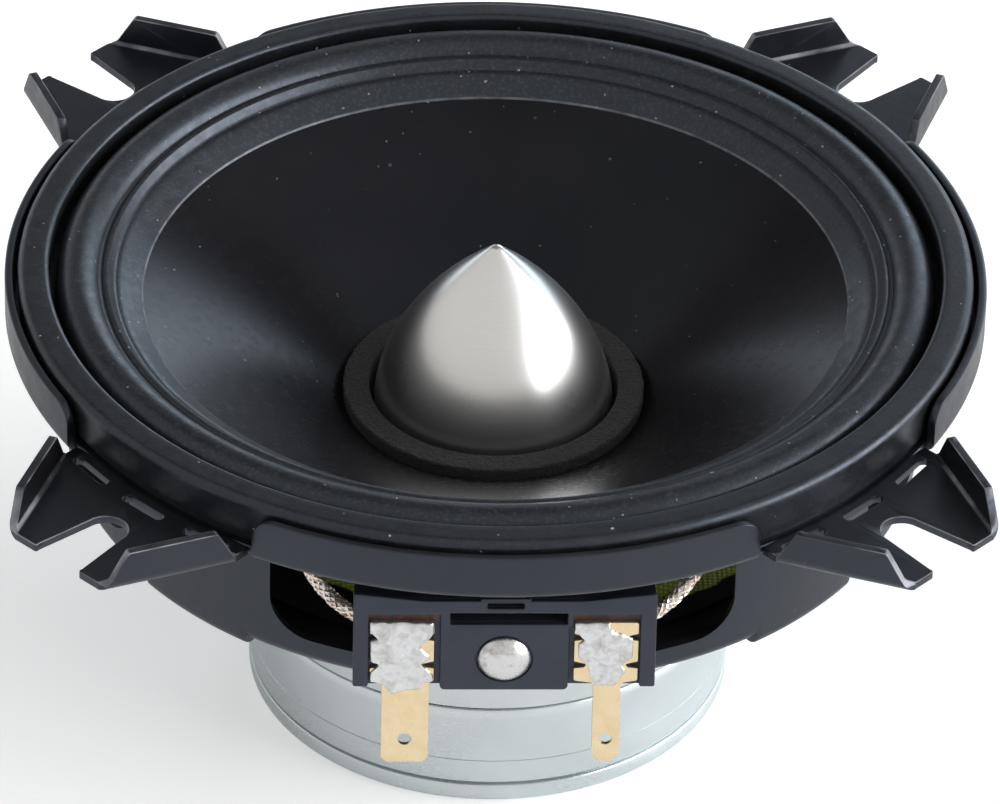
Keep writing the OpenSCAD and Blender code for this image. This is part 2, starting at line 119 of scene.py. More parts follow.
add_camera()


# ---- pieces (mm in, metres out)
def add_mesh(name, verts, faces, smooth=35, body=FIXED, nodes=(), slot=None, mat=None):
    """Makes a piece from its points and faces; a smooth angle in degrees keeps sharper edges sharp."""
    mesh = bpy.data.meshes.new(name)
    mesh.from_pydata([(x * MM, y * MM, z * MM) for x, y, z in verts], [], faces)
    mesh.update()
    bm = bmesh.new()
    bm.from_mesh(mesh)
    bmesh.ops.remove_doubles(bm, verts=bm.verts, dist=1e-7)
    bmesh.ops.recalc_face_normals(bm, faces=bm.faces)
    bm.to_mesh(mesh)
    bm.free()
    obj = bpy.data.objects.new(name, mesh)
    bpy.context.scene.collection.objects.link(obj)
    mesh.shade_smooth()
    mesh.set_sharp_from_angle(angle=radians(smooth))
    if mat:
        mesh.materials.append(mat)
    place(obj, body, nodes, slot)
    return obj


def place(obj, body=None, nodes=(), slot=None):
    if nodes:
        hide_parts(*nodes)
    if body:
        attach(obj, body)


def apply_modifiers(obj, keep_layers=False):
    """Puts an object's modifiers into its mesh."""
    bpy.context.view_layer.update()
    graph = bpy.context.evaluated_depsgraph_get()
    options = {"preserve_all_data_layers": True, "depsgraph": graph} if keep_layers else {}
    mesh = bpy.data.meshes.new_from_object(obj.evaluated_get(graph), **options)
    obj.modifiers.clear()
    obj.data = mesh


def combine(target, others, operation):
    """Cuts the others from the target, or joins them to it."""
    for other in others:
        mod = target.modifiers.new("cut", "BOOLEAN")
        mod.operation, mod.object, mod.solver = operation, other, "MANIFOLD"
    apply_modifiers(target)
    for other in others:
        bpy.data.objects.remove(other)


def weighted(obj, smooth=35):
    """Settles the shading normals by face area, so that flat faces look flat."""
    obj.data.shade_smooth()
    obj.data.set_sharp_from_angle(angle=radians(smooth))
    mod = obj.modifiers.new("normals", "WEIGHTED_NORMAL")
    mod.keep_sharp = True
    mod.weight = 80
    apply_modifiers(obj, keep_layers=True)


def blend_by(obj, weight):
    """Takes a piece off its body and bakes its place into its mesh; it weighs every point by weight(x, y, z)
    in mm, but puts the weights nowhere, so the piece does not bend.
    """
    obj.parent = None
    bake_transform(obj)
    values = np.array([weight(*(v.co / MM)) for v in obj.data.vertices], np.float32)


def smoothstep(t):
    t = max(0.0, min(1.0, t))
    return t * t * (3 - 2 * t)


# ---- outlines
def polar(r, degrees, cx=0.0, cy=0.0):
    """A point on a circle."""
    a = radians(degrees)
    return cx + r * cos(a), cy + r * sin(a)


def spin(x, y, degrees):
    """Turns a flat point about the axis."""
    c, s = cos(radians(degrees)), sin(radians(degrees))
    return x * c - y * s, x * s + y * c


def arc(cx, cy, r, start, end, steps):
    return [polar(r, start + (end - start) * i / steps, cx, cy) for i in range(steps + 1)]


def fillet(points, steps=5):
    """Rounds a closed outline's corners. Each point is (x, y) or (x, y, radius)."""
    out = []
    n = len(points)
    for i, p in enumerate(points):
        r = p[2] if len(p) > 2 else 0
        here = Vector(p[:2])
        if r <= 0:
            out.append(tuple(here))
            continue
        a, b = Vector(points[i - 1][:2]) - here, Vector(points[(i + 1) % n][:2]) - here
        longest = 0.49 * min(a.length, b.length)
        a, b = a.normalized(), b.normalized()
        half = acos(max(-1, min(1, a.dot(b)))) / 2
        if half > pi / 2 - 0.01 or half < 0.01:
            out.append(tuple(here))
            continue
        back = min(r / tan(half), longest)
        centre = here + (a + b).normalized() * (back / cos(half))
        start, end = here + a * back - centre, here + b * back - centre
        turn = start.angle_signed(end)
        for k in range(steps + 1):
            c, s = cos(-turn * k / steps), sin(-turn * k / steps)
            out.append((centre.x + start.x * c - start.y * s, centre.y + start.x * s + start.y * c))
    return out


def fillet_open(points):
    """Rounds the inner corners of an open line of points."""
    (x0, y0), (x1, y1) = points[0][:2], points[1][:2]
    (u0, w0), (u1, w1) = points[-1][:2], points[-2][:2]
    return fillet([(2 * x0 - x1, 2 * y0 - y1), *points, (2 * u0 - u1, 2 * w0 - w1)])[1:-1]


def rect(x0, x1, z0, z1, *r):
    """A rectangle with one corner radius, or with four from the lower left round."""
    a, b, c, d = r if len(r) == 4 else r * 4
    return fillet([(x0, z0, a), (x1, z0, b), (x1, z1, c), (x0, z1, d)], 4)


def dense(points, step, closed=True):
    """Adds points so that no segment is longer than step."""
    out = []
    n = len(points)
    for i in range(n if closed else n - 1):
        a, b = Vector(points[i]), Vector(points[(i + 1) % n])
        k = max(1, ceil((b - a).length / step))
        out += [tuple(a.lerp(b, j / k)) for j in range(k)]
    if not closed:
        out.append(tuple(points[-1]))
    return out


def inset(points, d):
    """Moves a closed outline inwards by d."""
    n = len(points)
    area = sum(x0 * y1 - x1 * y0 for (x0, y0), (x1, y1) in zip(points, points[1:] + points[:1]))
    s = 1 if area > 0 else -1
    out = []
    for i in range(n):
        p, a, b = Vector(points[i]), Vector(points[i - 1]), Vector(points[(i + 1) % n])
        e, f = (p - a).normalized(), (b - p).normalized()
        na, nb = Vector((-e.y, e.x)) * s, Vector((-f.y, f.x)) * s
        m = na + nb
        m = na if m.length < 1e-6 else m.normalized()
        out.append(tuple(p + m * d / max(0.35, m.dot(na))))
    return out


# ---- solids as (verts, faces)
def band(a, b, n):
    """The quads between two loops of n points that start at a and at b."""
    return [[a + k, a + (k + 1) % n, b + (k + 1) % n, b + k] for k in range(n)]


def swept(loops):
    """Joins loops of points, all the same length, into a solid with flat ends."""
    n = len(loops[0])
    faces = [face for j in range(len(loops) - 1) for face in band(j * n, (j + 1) * n, n)]
    faces += [list(range(n)), [len(loops) * n - 1 - k for k in range(n)]]
    return [p for loop in loops for p in loop], faces


def joined(data):
    """Joins several (verts, faces) into one."""
    verts, faces = [], []
    for v, f in data:
        base = len(verts)
        verts += list(v)
        faces += [[i + base for i in face] for face in f]
    return verts, faces


def front(data):
    """Stands a solid drawn in (x, z) up on its edge; its third number is the depth in front of the axis."""
    return [(x, -d, z) for x, z, d in data[0]], data[1]


def turned(data, degrees):
    return [(*spin(x, y, degrees), z) for x, y, z in data[0]], data[1]


def lathe_data(profile, steps=360, wobble=None):
    """Turns a closed (r, z) outline about Z. wobble(r, z, angle) gives a shift (dr, dz)."""
    verts, faces = [], []
    n = len(profile)
    for j in range(steps):
        a = 2 * pi * j / steps
        ca, sa = cos(a), sin(a)
        for r, z in profile:
            if wobble and r > 1e-6:
                dr, dz = wobble(r, z, a)
                r, z = r + dr, z + dz
            verts.append((r * ca, r * sa, z))
    for j in range(steps):
        k = (j + 1) % steps
        for i in range(n):
            m = (i + 1) % n
            at_axis, next_at_axis = profile[i][0] < 1e-6, profile[m][0] < 1e-6
            if at_axis and next_at_axis:
                continue
            quad = [j * n + i, k * n + i, k * n + m, j * n + m]
            if at_axis:
                quad.pop(1)
            elif next_at_axis:
                quad.pop(2)
            faces.append(quad)
    return verts, faces


def lathe(name, profile, steps=360, wobble=None, **options):
    """Adds a turned piece; the options are those of add_mesh."""
    return add_mesh(name, *lathe_data(profile, steps, wobble), **options)


def plate_data(outline, holes, low, high, bevel):
    """A flat solid between low and high with rounded edges; each hole is listed the other way round."""
    part = 0.3 * bevel
    levels = [(low, bevel), (low + part, part), (low + bevel, 0)]
    levels += [(high - bevel, 0), (high - part, part), (high, bevel)]
    verts, faces, bottoms, tops = [], [], [], []
    for i, loop in enumerate([outline] + list(holes)):
        rings = []
        for z, d in levels:
            points = inset(loop, d if i == 0 else -d)
            rings.append(range(len(verts), len(verts) + len(points)))
            verts += [(x, y, z) for x, y in points]
        for a, b in zip(rings, rings[1:]):
            faces += band(a[0], b[0], len(a))
        bottoms.append(rings[0])
        tops.append(rings[-1])
    for caps in (bottoms, tops):
        index = [k for ring in caps for k in ring]
        tris = tessellate_polygon([[Vector(verts[k]) for k in ring] for ring in caps])
        faces += [[index[k] for k in t] for t in tris]
    return verts, faces


def cutter(outline, low, high):
    """A plain prism, for cutting."""
    n = len(outline)
    verts = [(x, y, z) for z in (low, high) for x, y in outline]
    return verts, [list(range(n))[::-1], list(range(n, 2 * n))] + band(0, n, n)


# ---- node makers
class Nodes:
    """Short names for the nodes of a material or of the world."""

    def __init__(self, tree):
        self.tree = tree

    def feed(self, socket, value):
        """Links a socket to another one, or sets its own value."""
        if isinstance(value, bpy.types.NodeSocket):
            self.tree.links.new(value, socket)
        else:
            socket.default_value = value

    def node(self, kind, inputs=(), **props):
        n = self.tree.nodes.new("ShaderNode" + kind)
        for k, v in props.items():
            setattr(n, k, v)
        for k, v in dict(inputs).items():
            self.feed(n.inputs[k], v)
        return n

    def math(self, op, a, b=0.0):
        return self.node("Math", {0: a, 1: b}, operation=op).outputs[0]

    def times(self, first, *others):
        for other in others:
            first = self.math("MULTIPLY", first, other)
        return first

    def most(self, a, b):
        return self.math("MAXIMUM", a, b)

    def span(self, value, low, high, to_low=0.0, to_high=1.0, **props):
        """Maps low..high to to_low..to_high and holds the ends."""
        inputs = {0: value, 1: low, 2: high, 3: to_low, 4: to_high}
        return self.node("MapRange", inputs, clamp=True, **props).outputs["Result"]

    def mix(self, factor, a, b, **props):
        a, b = (v if isinstance(v, bpy.types.NodeSocket) else (*v, 1) for v in (a, b))
        return self.node("Mix", {0: factor, 6: a, 7: b}, data_type="RGBA", **props).outputs[2]

    def split(self, vector):
        return self.node("SeparateXYZ", {0: vector}).outputs

    def flat_length(self, at):
        """Distance from the Z axis."""
        return self.math("SQRT", self.math("ADD", self.times(at[0], at[0]), self.times(at[1], at[1])))


class Paint(Nodes):
    """A procedural material on a principled shader, in object coordinates in metres."""

    def __init__(self, name, color, rough, metal=0.0, **sockets):
        self.mat = bpy.data.materials.new(name)
        self.mat.use_nodes = True
        super().__init__(self.mat.node_tree)
        self.shader = self.tree.nodes["Principled BSDF"]
        self.put("Base Color", (*color, 1))
        self.put("Roughness", rough)
        self.put("Metallic", metal)
        for k, v in sockets.items():
            self.put(k.replace("_", " "), v)
        self.coord = self.node("TexCoord").outputs["Object"]

    def put(self, socket, value):
        self.feed(self.shader.inputs[socket], value)

    def finish(self, color, rough, normal):
        """Feeds the three main sockets, and gives the material."""
        self.put("Base Color", color)
        self.put("Roughness", rough)
        self.put("Normal", normal)
        return self.mat

    def noise(self, scale, detail=3.0, at=None, **more):
        inputs = {"Vector": at or self.coord, "Scale": scale, "Detail": detail, "Roughness": 0.55}
        inputs.update((k.capitalize(), v) for k, v in more.items())
        return self.node("TexNoise", inputs).outputs["Fac"]

    def stretch(self, x, y, z):
        return self.node("Mapping", {"Vector": self.coord, "Scale": (x, y, z)}).outputs["Vector"]

    def bump(self, height, strength, distance, normal=None):
        inputs = {"Height": height, "Strength": strength, "Distance": distance}
        if normal:
            inputs["Normal"] = normal
        return self.node("Bump", inputs).outputs["Normal"]

    def uneven(self, low, high, scale, detail=4):
        """A value that wanders between two others."""
        return self.span(self.noise(scale, detail), 0.3, 0.7, low, high)

    def specks(self, cell, size, share, offset=0.0):
        """Small ragged flecks. Cell and size are in metres; share is the part of the cells that hold one."""
        ragged, ragged_scale = 0.00025, 2500.0
        at = self.node("Mapping", {"Vector": self.coord, "Location": (offset,) * 3}).outputs["Vector"]
        warp = self.node("TexNoise", {"Vector": at, "Scale": ragged_scale, "Detail": 1.0})
        at = self.vector("ADD", {0: warp.outputs["Color"], 1: (-0.5, -0.5, -0.5)})
        at = self.vector("ADD", {0: self.vector("SCALE", {0: at, "Scale": ragged}), 1: self.coord})
        cells = self.node("TexVoronoi", {"Vector": at, "Scale": 1 / cell, "Randomness": 1.0})
        near = self.span(cells.outputs["Distance"], size / cell * 0.5, size / cell, 1.0, 0.0)
        picked = self.node("SeparateColor", {"Color": cells.outputs["Color"]})
        keep = self.math("GREATER_THAN", picked.outputs[0], 1 - share)
        return self.times(near, keep, self.span(picked.outputs[1], 0.0, 1.0, 0.3, 1.0))

    def vector(self, op, inputs):
        return self.node("VectorMath", inputs, operation=op).outputs[0]

    def dusty(self, base, light, more=1.0):
        """The base colour with pale specks of two sizes on it."""
        big = self.specks(0.0026, 0.00024, 0.22 * more, 0.003)
        small = self.specks(0.0009, 0.00014, 0.3 * more)
        return self.mix(self.most(big, self.times(small, 0.8)), base, light)


# ---- materials
def black_paint():
    """Powder coat, pale along the edges of the ears and of the lips: mostly a painted highlight for the
    glints off those edges, with a little wear.
    """
    p = Paint("black_powder_coat", (0.008, 0.008, 0.009), 0.34,
              Specular_IOR_Level=0.8, Specular_Tint=(0.68, 0.78, 1, 1))
    paint = p.mix(p.span(p.noise(90, 4), 0.35, 0.7), (0.0035, 0.003, 0.003), (0.007, 0.0064, 0.0064))
    at = p.split(p.coord)
    radius, height = p.flat_length(at), at[2]
    facing = p.split(p.node("NewGeometry").outputs["True Normal"])[2]
    outside = p.span(radius, 0.0512, 0.0516)
    upright = p.span(p.math("ABSOLUTE", facing), 0.25, 0.6, 1, 0)
    level = p.span(facing, 0.5, 0.9)
    cut = p.times(upright, outside, p.span(height, 0.04585, 0.046, 1, 0))
    ear_top = p.times(level, outside, p.span(height, 0.0493, 0.0495))
    lip_edge = p.times(level, p.span(radius, 0.0497, 0.0499), p.span(height, 0.0501, 0.05025))
    # The arris line is a painted highlight: it stands in for the glints off the rounded sheet edges.
    arris = p.times(p.span(facing, 0.12, 0.3), p.span(facing, 0.9, 0.98, 1, 0))
    arris = p.times(arris, outside, p.span(height, 0.0457, 0.0458))
    flats = p.most(p.most(cut, ear_top), p.times(lip_edge, 0.6))
    edge = p.most(p.times(flats, 0.05), arris)
    wear_and_glint = p.times(edge, p.span(p.noise(170, 3), 0.42, 0.6, 0.12, 1))
    # The pale edge colour is a painted highlight, mixed with a little wear.
    color = p.mix(wear_and_glint, paint, (0.26, 0.265, 0.28))
    color = p.mix(p.specks(0.003, 0.00016, 0.12, 0.02), color, (0.4, 0.4, 0.42))
    fine = p.bump(p.noise(2600, 2), 0.12, 0.00006)
    return p.finish(color, p.uneven(0.29, 0.4, 500), p.bump(p.noise(380, 2), 0.1, 0.0002, fine))


def rubber(name, base, rough, dust, edge_r=0.0):
    """Moulded rubber with a pale bloom and dust. Inside the radius edge_r its edge is painted paler."""
    p = Paint(name, base, rough, Specular_IOR_Level=0.66, Specular_Tint=(0.72, 0.83, 1, 1))
    color = p.mix(p.span(p.noise(140, 5), 0.35, 0.75), base, tuple(c * 1.45 for c in base))
    bloom = 0.08
    if edge_r:
        radius = p.flat_length(p.split(p.coord))
        rim = p.span(radius, edge_r, edge_r + 0.00006, 1, 0)
        rim = p.times(rim, p.span(p.noise(500, 3), 0.35, 0.6, 0.25, 1))
        color = p.mix(rim, color, (0.13, 0.135, 0.145))
        bloom = 0.16
    color = p.mix(p.times(p.span(p.noise(2600, 2), 0.5, 0.7), bloom), color, (0.13, 0.134, 0.142))
    color = p.dusty(color, (0.5, 0.51, 0.53), dust)
    normal = p.bump(p.noise(260, 3), 0.12, 0.00025, p.bump(p.noise(3200, 3), 0.22, 0.00008))
    return p.finish(color, p.uneven(rough - 0.07, rough + 0.09, 700), normal)


def cone_coating():
    p = Paint("cone_coating", (0.008, 0.008, 0.009), 0.28,
              Specular_IOR_Level=0.24, Specular_Tint=(0.74, 0.85, 1, 1))
    color = p.mix(p.span(p.noise(60, 5), 0.35, 0.7), (0.004, 0.0032, 0.0042), (0.0078, 0.0066, 0.008))
    color = p.dusty(color, (0.2, 0.205, 0.215), 0.2)
    return p.finish(color, p.uneven(0.22, 0.29, 900), p.bump(p.noise(1500, 4), 0.1, 0.00008))


def felt():
    p = Paint("dark_felt", (0.03, 0.027, 0.026), 0.95, Sheen_Weight=0.1, Sheen_Roughness=0.6)
    fibre = p.noise(2400, 4, p.stretch(1, 1, 3), distortion=1.5)
    color = p.mix(p.span(fibre, 0.35, 0.75), (0.0022, 0.0016, 0.002), (0.0245, 0.019, 0.0225))
    return p.finish(color, 0.95, p.bump(fibre, 1.0, 0.00045))


def turned_aluminium():
    """Satin metal with faint turning lines."""
    p = Paint("satin_aluminium", (0.79, 0.79, 0.78), 0.25, 1.0)
    lines = p.span(p.noise(1.0, 2, p.stretch(25, 25, 6000)), 0.3, 0.7)
    cloudy = p.noise(120, 1)
    turned = p.mix(lines, (0.75, 0.75, 0.74), (0.79, 0.79, 0.78))
    p.put("Base Color", p.mix(p.span(cloudy, 0.3, 0.7, 0, 0.5), turned, (0.83, 0.83, 0.82)))
    p.put("Roughness", p.span(cloudy, 0.3, 0.7, 0.27, 0.3))
    return p.mat


def zinc():
    """Bright zinc plate with a few dull stains."""
    bright, dull, rough = (0.74, 0.8, 0.82), (0.666, 0.72, 0.738), 0.3
    p = Paint("zinc_plate", bright, rough, 1.0)
    broad = p.span(p.noise(70, 5, distortion=0.4), 0.3, 0.7)
    fine = p.noise(900, 4, p.stretch(1, 1, 6))
    stains = p.times(p.specks(0.004, 0.00035, 0.06, 0.01), 0.6)
    color = p.mix(stains, p.mix(broad, dull, bright), (0.25, 0.27, 0.27))
    wander = p.span(broad, 0, 1, rough - 0.05, rough + 0.1)
    wander = p.math("ADD", wander, p.span(fine, 0.3, 0.7, -0.04, 0.05))
    return p.finish(color, wander, p.bump(fine, 0.08, 0.00005))


def moulded_plastic():
    """Black plastic, brown above the two soldering plates: flux residue, and painted shade in the tops of the
    pockets.
    """
    p = Paint("moulded_black_plastic", (0.016, 0.017, 0.021), 0.42,
              Specular_IOR_Level=0.7, Specular_Tint=(0.72, 0.82, 1, 1))
    color = p.mix(p.span(p.noise(300, 4), 0.3, 0.7), (0.014, 0.0155, 0.023), (0.022, 0.0235, 0.033))
    x, y, z = p.split(p.coord)
    pockets = p.times(p.span(p.math("ABSOLUTE", x), 0.0064, 0.0067), p.span(y, -0.0459, -0.0455))
    above = p.times(p.span(z, 0.0386, 0.0388), p.span(z, 0.0399, 0.04, 1, 0))
    # Brown in the pocket tops: flux residue, and painted shade of the recess.
    flux_and_shade = p.times(pockets, above, p.span(p.noise(900, 4), 0.35, 0.6))
    color = p.mix(flux_and_shade, color, (0.09, 0.035, 0.014))
    return p.finish(color, p.uneven(0.4, 0.54, 1200, 3), p.bump(p.noise(2600, 3), 0.18, 0.00005))


def gold_plate():
    p = Paint("pale_gold_plate", (0.96, 0.8, 0.52), 0.3, 1.0)
    brushed = p.noise(1.0, 3, p.stretch(2600, 2600, 250))
    color = p.mix(p.span(p.noise(500, 4), 0.3, 0.75), (0.92, 0.77, 0.52), (0.86, 0.67, 0.4))
    return p.finish(color, p.span(brushed, 0.3, 0.7, 0.22, 0.36), p.bump(brushed, 0.1, 0.00004))


def tin_solder():
    p = Paint("solder", (0.84, 0.84, 0.85), 0.24, 1.0)
    blotch = p.noise(900, 5, distortion=0.8)
    color = p.mix(p.span(blotch, 0.42, 0.72), (0.78, 0.79, 0.81), (0.56, 0.55, 0.54))
    return p.finish(color, p.span(blotch, 0.3, 0.7, 0.22, 0.45), p.bump(p.noise(800, 3), 0.22, 0.00015))


def rivet_steel():
    p = Paint("rivet_steel", (0.8, 0.79, 0.78), 0.24, 1.0)
    speckle = p.noise(2600, 4, roughness=0.7)
    blotch = p.math("ADD", p.times(speckle, 0.35), p.times(p.noise(620, 3), 0.65))
    color = p.mix(p.span(blotch, 0.5, 0.66), (0.74, 0.74, 0.75), (0.46, 0.45, 0.44))
    return p.finish(color, p.span(speckle, 0.3, 0.7, 0.16, 0.4), p.bump(speckle, 0.25, 0.00005))


def tinsel():
    p = Paint("tinsel_braid", (0.82, 0.76, 0.68), 0.32, 1.0)
    color = p.mix(p.span(p.noise(1100, 3), 0.42, 0.7), (0.92, 0.88, 0.83), (0.84, 0.66, 0.52))
    return p.finish(color, p.uneven(0.24, 0.44, 3000, 2), p.bump(p.noise(6000, 2), 0.3, 0.00005))


def spider_cloth():
    """Resin-dipped weave, black outside a slightly wavering edge: glue, and painted shade that reaches
    further in on the -X side.
    """
    p = Paint("yellow_green_cloth", (0.36, 0.38, 0.1), 0.8, Specular_IOR_Level=0.2)
    threads = {"Vector": p.coord, "Scale": 620.0, "Distortion": 0.5, "Detail": 1.0}
    warp, weft = (p.node("TexWave", threads, bands_direction=way).outputs["Fac"] for way in "XY")
    weave = p.times(warp, weft)
    resin = p.mix(p.span(p.noise(160, 4), 0.3, 0.7), (0.46, 0.58, 0.1), (0.68, 0.7, 0.26))
    cloth = p.mix(p.span(weave, 0.0, 0.6), (0.3, 0.38, 0.05), resin)
    at = p.split(p.coord)
    glue_and_shade = p.math("ADD", p.flat_length(at), p.span(p.noise(400, 3), 0.3, 0.7, -0.0003, 0.0003))
    # The black beyond this edge is partly glue and partly painted shade; the x term moves it further in on
    # the -X side.
    glue_and_shade = p.span(p.math("ADD", glue_and_shade, p.times(at[0], -0.06)), 0.0342, 0.0345)
    normal = p.bump(p.times(weave, p.math("SUBTRACT", 1.0, glue_and_shade)), 0.6, 0.00012)
    return p.finish(p.mix(glue_and_shade, cloth, (0.004, 0.0037, 0.0035)), 0.8, normal)


def plain(name, low, high, rough, scale, metal=0.0, strength=0.2):
    """A mottled material for the pieces that are hardly seen."""
    p = Paint(name, low, rough, metal)
    n = p.span(p.noise(scale, 4), 0.3, 0.7)
    wander = p.span(n, 0, 1, rough - 0.06, rough + 0.08)
    return p.finish(p.mix(n, low, high), wander, p.bump(p.noise(scale * 3, 3), strength, 0.0001))


land_edge = 0.03658
PAINT = black_paint()
GASKET = rubber("gasket_rubber", (0.0065, 0.0065, 0.0075), 0.36, 0.22)
SURROUND = rubber("surround_rubber", (0.006, 0.006, 0.0068), 0.38, 0.5, land_edge)
CONE = cone_coating()
FELT = felt()
ALUMINIUM = turned_aluminium()
ZINC = zinc()
BOARD = moulded_plastic()
GOLD = gold_plate()
SOLDER = tin_solder()
RIVET = rivet_steel()
TINSEL = tinsel()
SPIDER = spider_cloth()
GLUE = plain("black_glue", (0.012, 0.012, 0.013), (0.02, 0.02, 0.021), 0.35, 900)
FERRITE = plain("ferrite", (0.06, 0.06, 0.065), (0.09, 0.088, 0.09), 0.7, 1200, strength=0.5)
COPPER = plain("copper_wire", (0.5, 0.2, 0.09), (0.62, 0.27, 0.12), 0.35, 3000, 1.0)
# The former's film is coloured much darker than amber, as painted shade for its place deep in the gap.
DARKENED_FILM = plain("amber_film_shaded", (0.05, 0.028, 0.008), (0.07, 0.04, 0.012), 0.4, 500)
PAPER = plain("kraft_paper", (0.33, 0.24, 0.14), (0.42, 0.32, 0.2), 0.85, 1800, strength=0.5)
BLACK_STEEL = plain("blackened_steel", (0.09, 0.09, 0.095), (0.14, 0.14, 0.145), 0.4, 900, 1.0)


# ---- leads
def lead_route(side):
    """part.scad's route for a lead, in mm, made into one smooth curve."""
    points = [
        (lead_x, 0.05 - terminal_front, lead_z), (lead_x, 0.7 - board_back, 35.25), (10.9, -43.1, 35.4),
        (12.6, -42.0, 35.6), (14.7, -41.0, 36.0), (16.8, -39.8, 36.9), (18.6, -38.9, 38.6),
        (19.9, -37.6, 40.4), (20.4, -35.4, 41.8), (20.0, -32.6, 42.3), (18.9, -29.8, 41.8),
        (17.5, -27.0, 40.7), (16.1, -24.2, 39.4), (14.8, -21.6, 38.2), (13.6, -19.3, 37.2),
        (12.6, -17.5, 36.2),
    ]
    points = [Vector((side * x, y, z)) for x, y, z in points]
    steps = 10
    out = []
    for p0, p1, p2, p3 in zip(points[:1] + points, points, points[1:], points[2:] + points[-1:]):
        square, cube = 2 * p0 - 5 * p1 + 4 * p2 - p3, 3 * p1 - p0 - 3 * p2 + p3
        for k in range(steps):
            t = k / steps
            out.append(0.5 * ((2 * p1) + (p2 - p0) * t + square * t * t + cube * t ** 3))
    return out + [points[-1]]


def frames(path):
    """A steady pair of side vectors at every point of a path."""
    n = len(path)
    tangents = [(path[min(i + 1, n - 1)] - path[max(i - 1, 0)]).normalized() for i in range(n)]
    side = tangents[0].cross(Vector((0, 0, 1))).normalized()
    out = []
    for t in tangents:
        side = (side - t * side.dot(t)).normalized()
        out.append((side, t.cross(side)))
    return out


def tube_data(path, radius, sides):
    ring = [polar(1, 360 * k / sides) for k in range(sides)]
    sides = zip(path, frames(path))
    return swept([[tuple(p + radius * (u * a + w * b)) for u, w in ring] for p, (a, b) in sides])


def braid(name, side, node):
    """A braided lead: a core and two sets of strands that wind opposite ways, over and under each other."""
    core_r, strand_r, strands, pitch = 0.56, 0.15, 6, 5.2
    mean_r, swing, ahead = 0.6, 0.055, 0.26
    path = lead_route(side)
    steps = [(b - a).length for a, b in zip(path, path[1:])]
    length = sum(steps)
    runs = np.array([0.0, *np.cumsum(steps)])
    data = [tube_data(path, core_r, 12)]
    for way, first, half_turn in ((1, 0, 0), (-1, ahead, pi)):
        for s in range(strands):
            line = []
            for p, (a, b), run in zip(path, frames(path), runs):
                wound = run / pitch * 2 * pi
                turn = way * wound + 2 * pi * s / strands + first
                lift = mean_r + swing * sin(strands * wound + pi * s + half_turn)
                line.append(p + lift * (cos(turn) * a + sin(turn) * b))
            data.append(tube_data(line, strand_r, 5))
    obj = add_mesh(name, *joined(data), smooth=60, nodes=[node], slot="lead", mat=TINSEL)
    line = np.array([tuple(p) for p in path])

    def weight(x, y, z):
        t = runs[int(np.argmin(((line - (x, y, z)) ** 2).sum(1)))] / length
        return smoothstep((t - 0.2) / 0.75)

    blend_by(obj, weight)


braid("lead_positive_braid", -1, "lead_positive")
braid("lead_negative_braid", 1, "lead_negative")


# ---- basket
def shell_profile():
    """Sheet-metal section: flange, wall, spider ledge, bowl and floor, as one closed (r, z) outline."""
    return dense([
        (rim_r - 0.15, depth), *arc(wall_in_r + bend_r, depth - bend_r, bend_r, 90, 180, 8),
        *arc(wall_in_r - ledge_bend, ledge_top + ledge_bend, ledge_bend, 0, -90, 5),
        *fillet_open([
            (wall_in_r - bend_r, ledge_top), (34.6, ledge_top, 1.2), (26.4, floor_top, 1.2), (16, floor_top),
        ]),
        *fillet_open([
            (16, floor_z), (26.9, floor_z, 2), (35.1, ledge_z, 1.6), (wall_r - outer_bend, ledge_z),
        ]),
        *arc(wall_r - outer_bend, ledge_z + outer_bend, outer_bend, -90, 0, 8),
        *arc(wall_r + bend_r - sheet, flange_under - bend_r + sheet, bend_r - sheet, 180, 90, 6),
        (rim_r - 0.15, flange_under), (rim_r - 0.03, flange_under + 0.12), (rim_r, flange_under + 0.3),
        (rim_r, depth - 0.3), (rim_r - 0.03, depth - 0.12),
    ], 3.0)


def leg_data(turn):
    """The lower, bulged part of a leg under the ledge, swept over its width."""
    low, top, half = ledge_z - 0.9, ledge_z + outer_bend + 0.2, 9.3
    section = [
        (34.4, ledge_z + 0.3), (34.4, low), (35.2, low),
        *arc(wall_r - outer_bend, low + outer_bend, outer_bend, -90, 0, 8),
        (wall_r, top), (wall_r - 0.4, top), (wall_r - outer_bend - 0.4, ledge_z + 0.3),
    ]
    places = [(-half, 0.2), (-half + 0.12, 0.06), (-half + 0.35, 0)]
    places += [(a, 0) for a in np.linspace(-half + 1, half - 1, 16)]
    places += [(half - 0.35, 0), (half - 0.12, 0.06), (half, 0.2)]
    loops = []
    for angle, tight in places:
        outline = inset(section, tight) if tight else section
        loops.append([(*polar(r, turn + angle), z) for r, z in outline])
    return swept(loops)


def lip_data(turn):
    """One upturned lip of the flange: a rounded section swept over 60 degrees, lower at its rounded ends."""
    corner, half = 2.2, 25.4
    low = lip_top - corner
    end = [(corner - x, low + y, 0.0) for x, y in arc(0, 0, corner, 0, 90, 12)]
    end[0] = (0.0, low, 0.12)
    end = sorted(end + [(0.1, low + 0.65, 0.0)])
    places = [(d - half, top, tight) for d, top, tight in end]
    places += [(x, lip_top, 0.0) for x in np.linspace(-half + corner + 1, half - corner - 1, 60)]
    places += [(half - d, top, tight) for d, top, tight in reversed(end)]
    loops = []
    for x, top, tight in places:
        section = [
            (49.3, depth), (49.82, depth), (rim_r, depth + 0.12), (rim_r, top - 0.5), (49.93, top - 0.12),
            (50.03, top - 0.02), (50.2, top), (50.5, top), (50.67, top - 0.03), (50.77, top - 0.13),
            (lip_r, top - 0.5), (lip_r, flange_under + 1.1),
            *arc(lip_r - 1, flange_under + 1, 1, 0, -90, 8)[1:], (49.3, flange_under),
        ]
        if tight:
            section = inset(section, tight)
        angle = turn - 90 + degrees(asin(x / lip_r))
        loops.append([(*polar(r, angle), z) for r, z in section])
    return swept(loops)


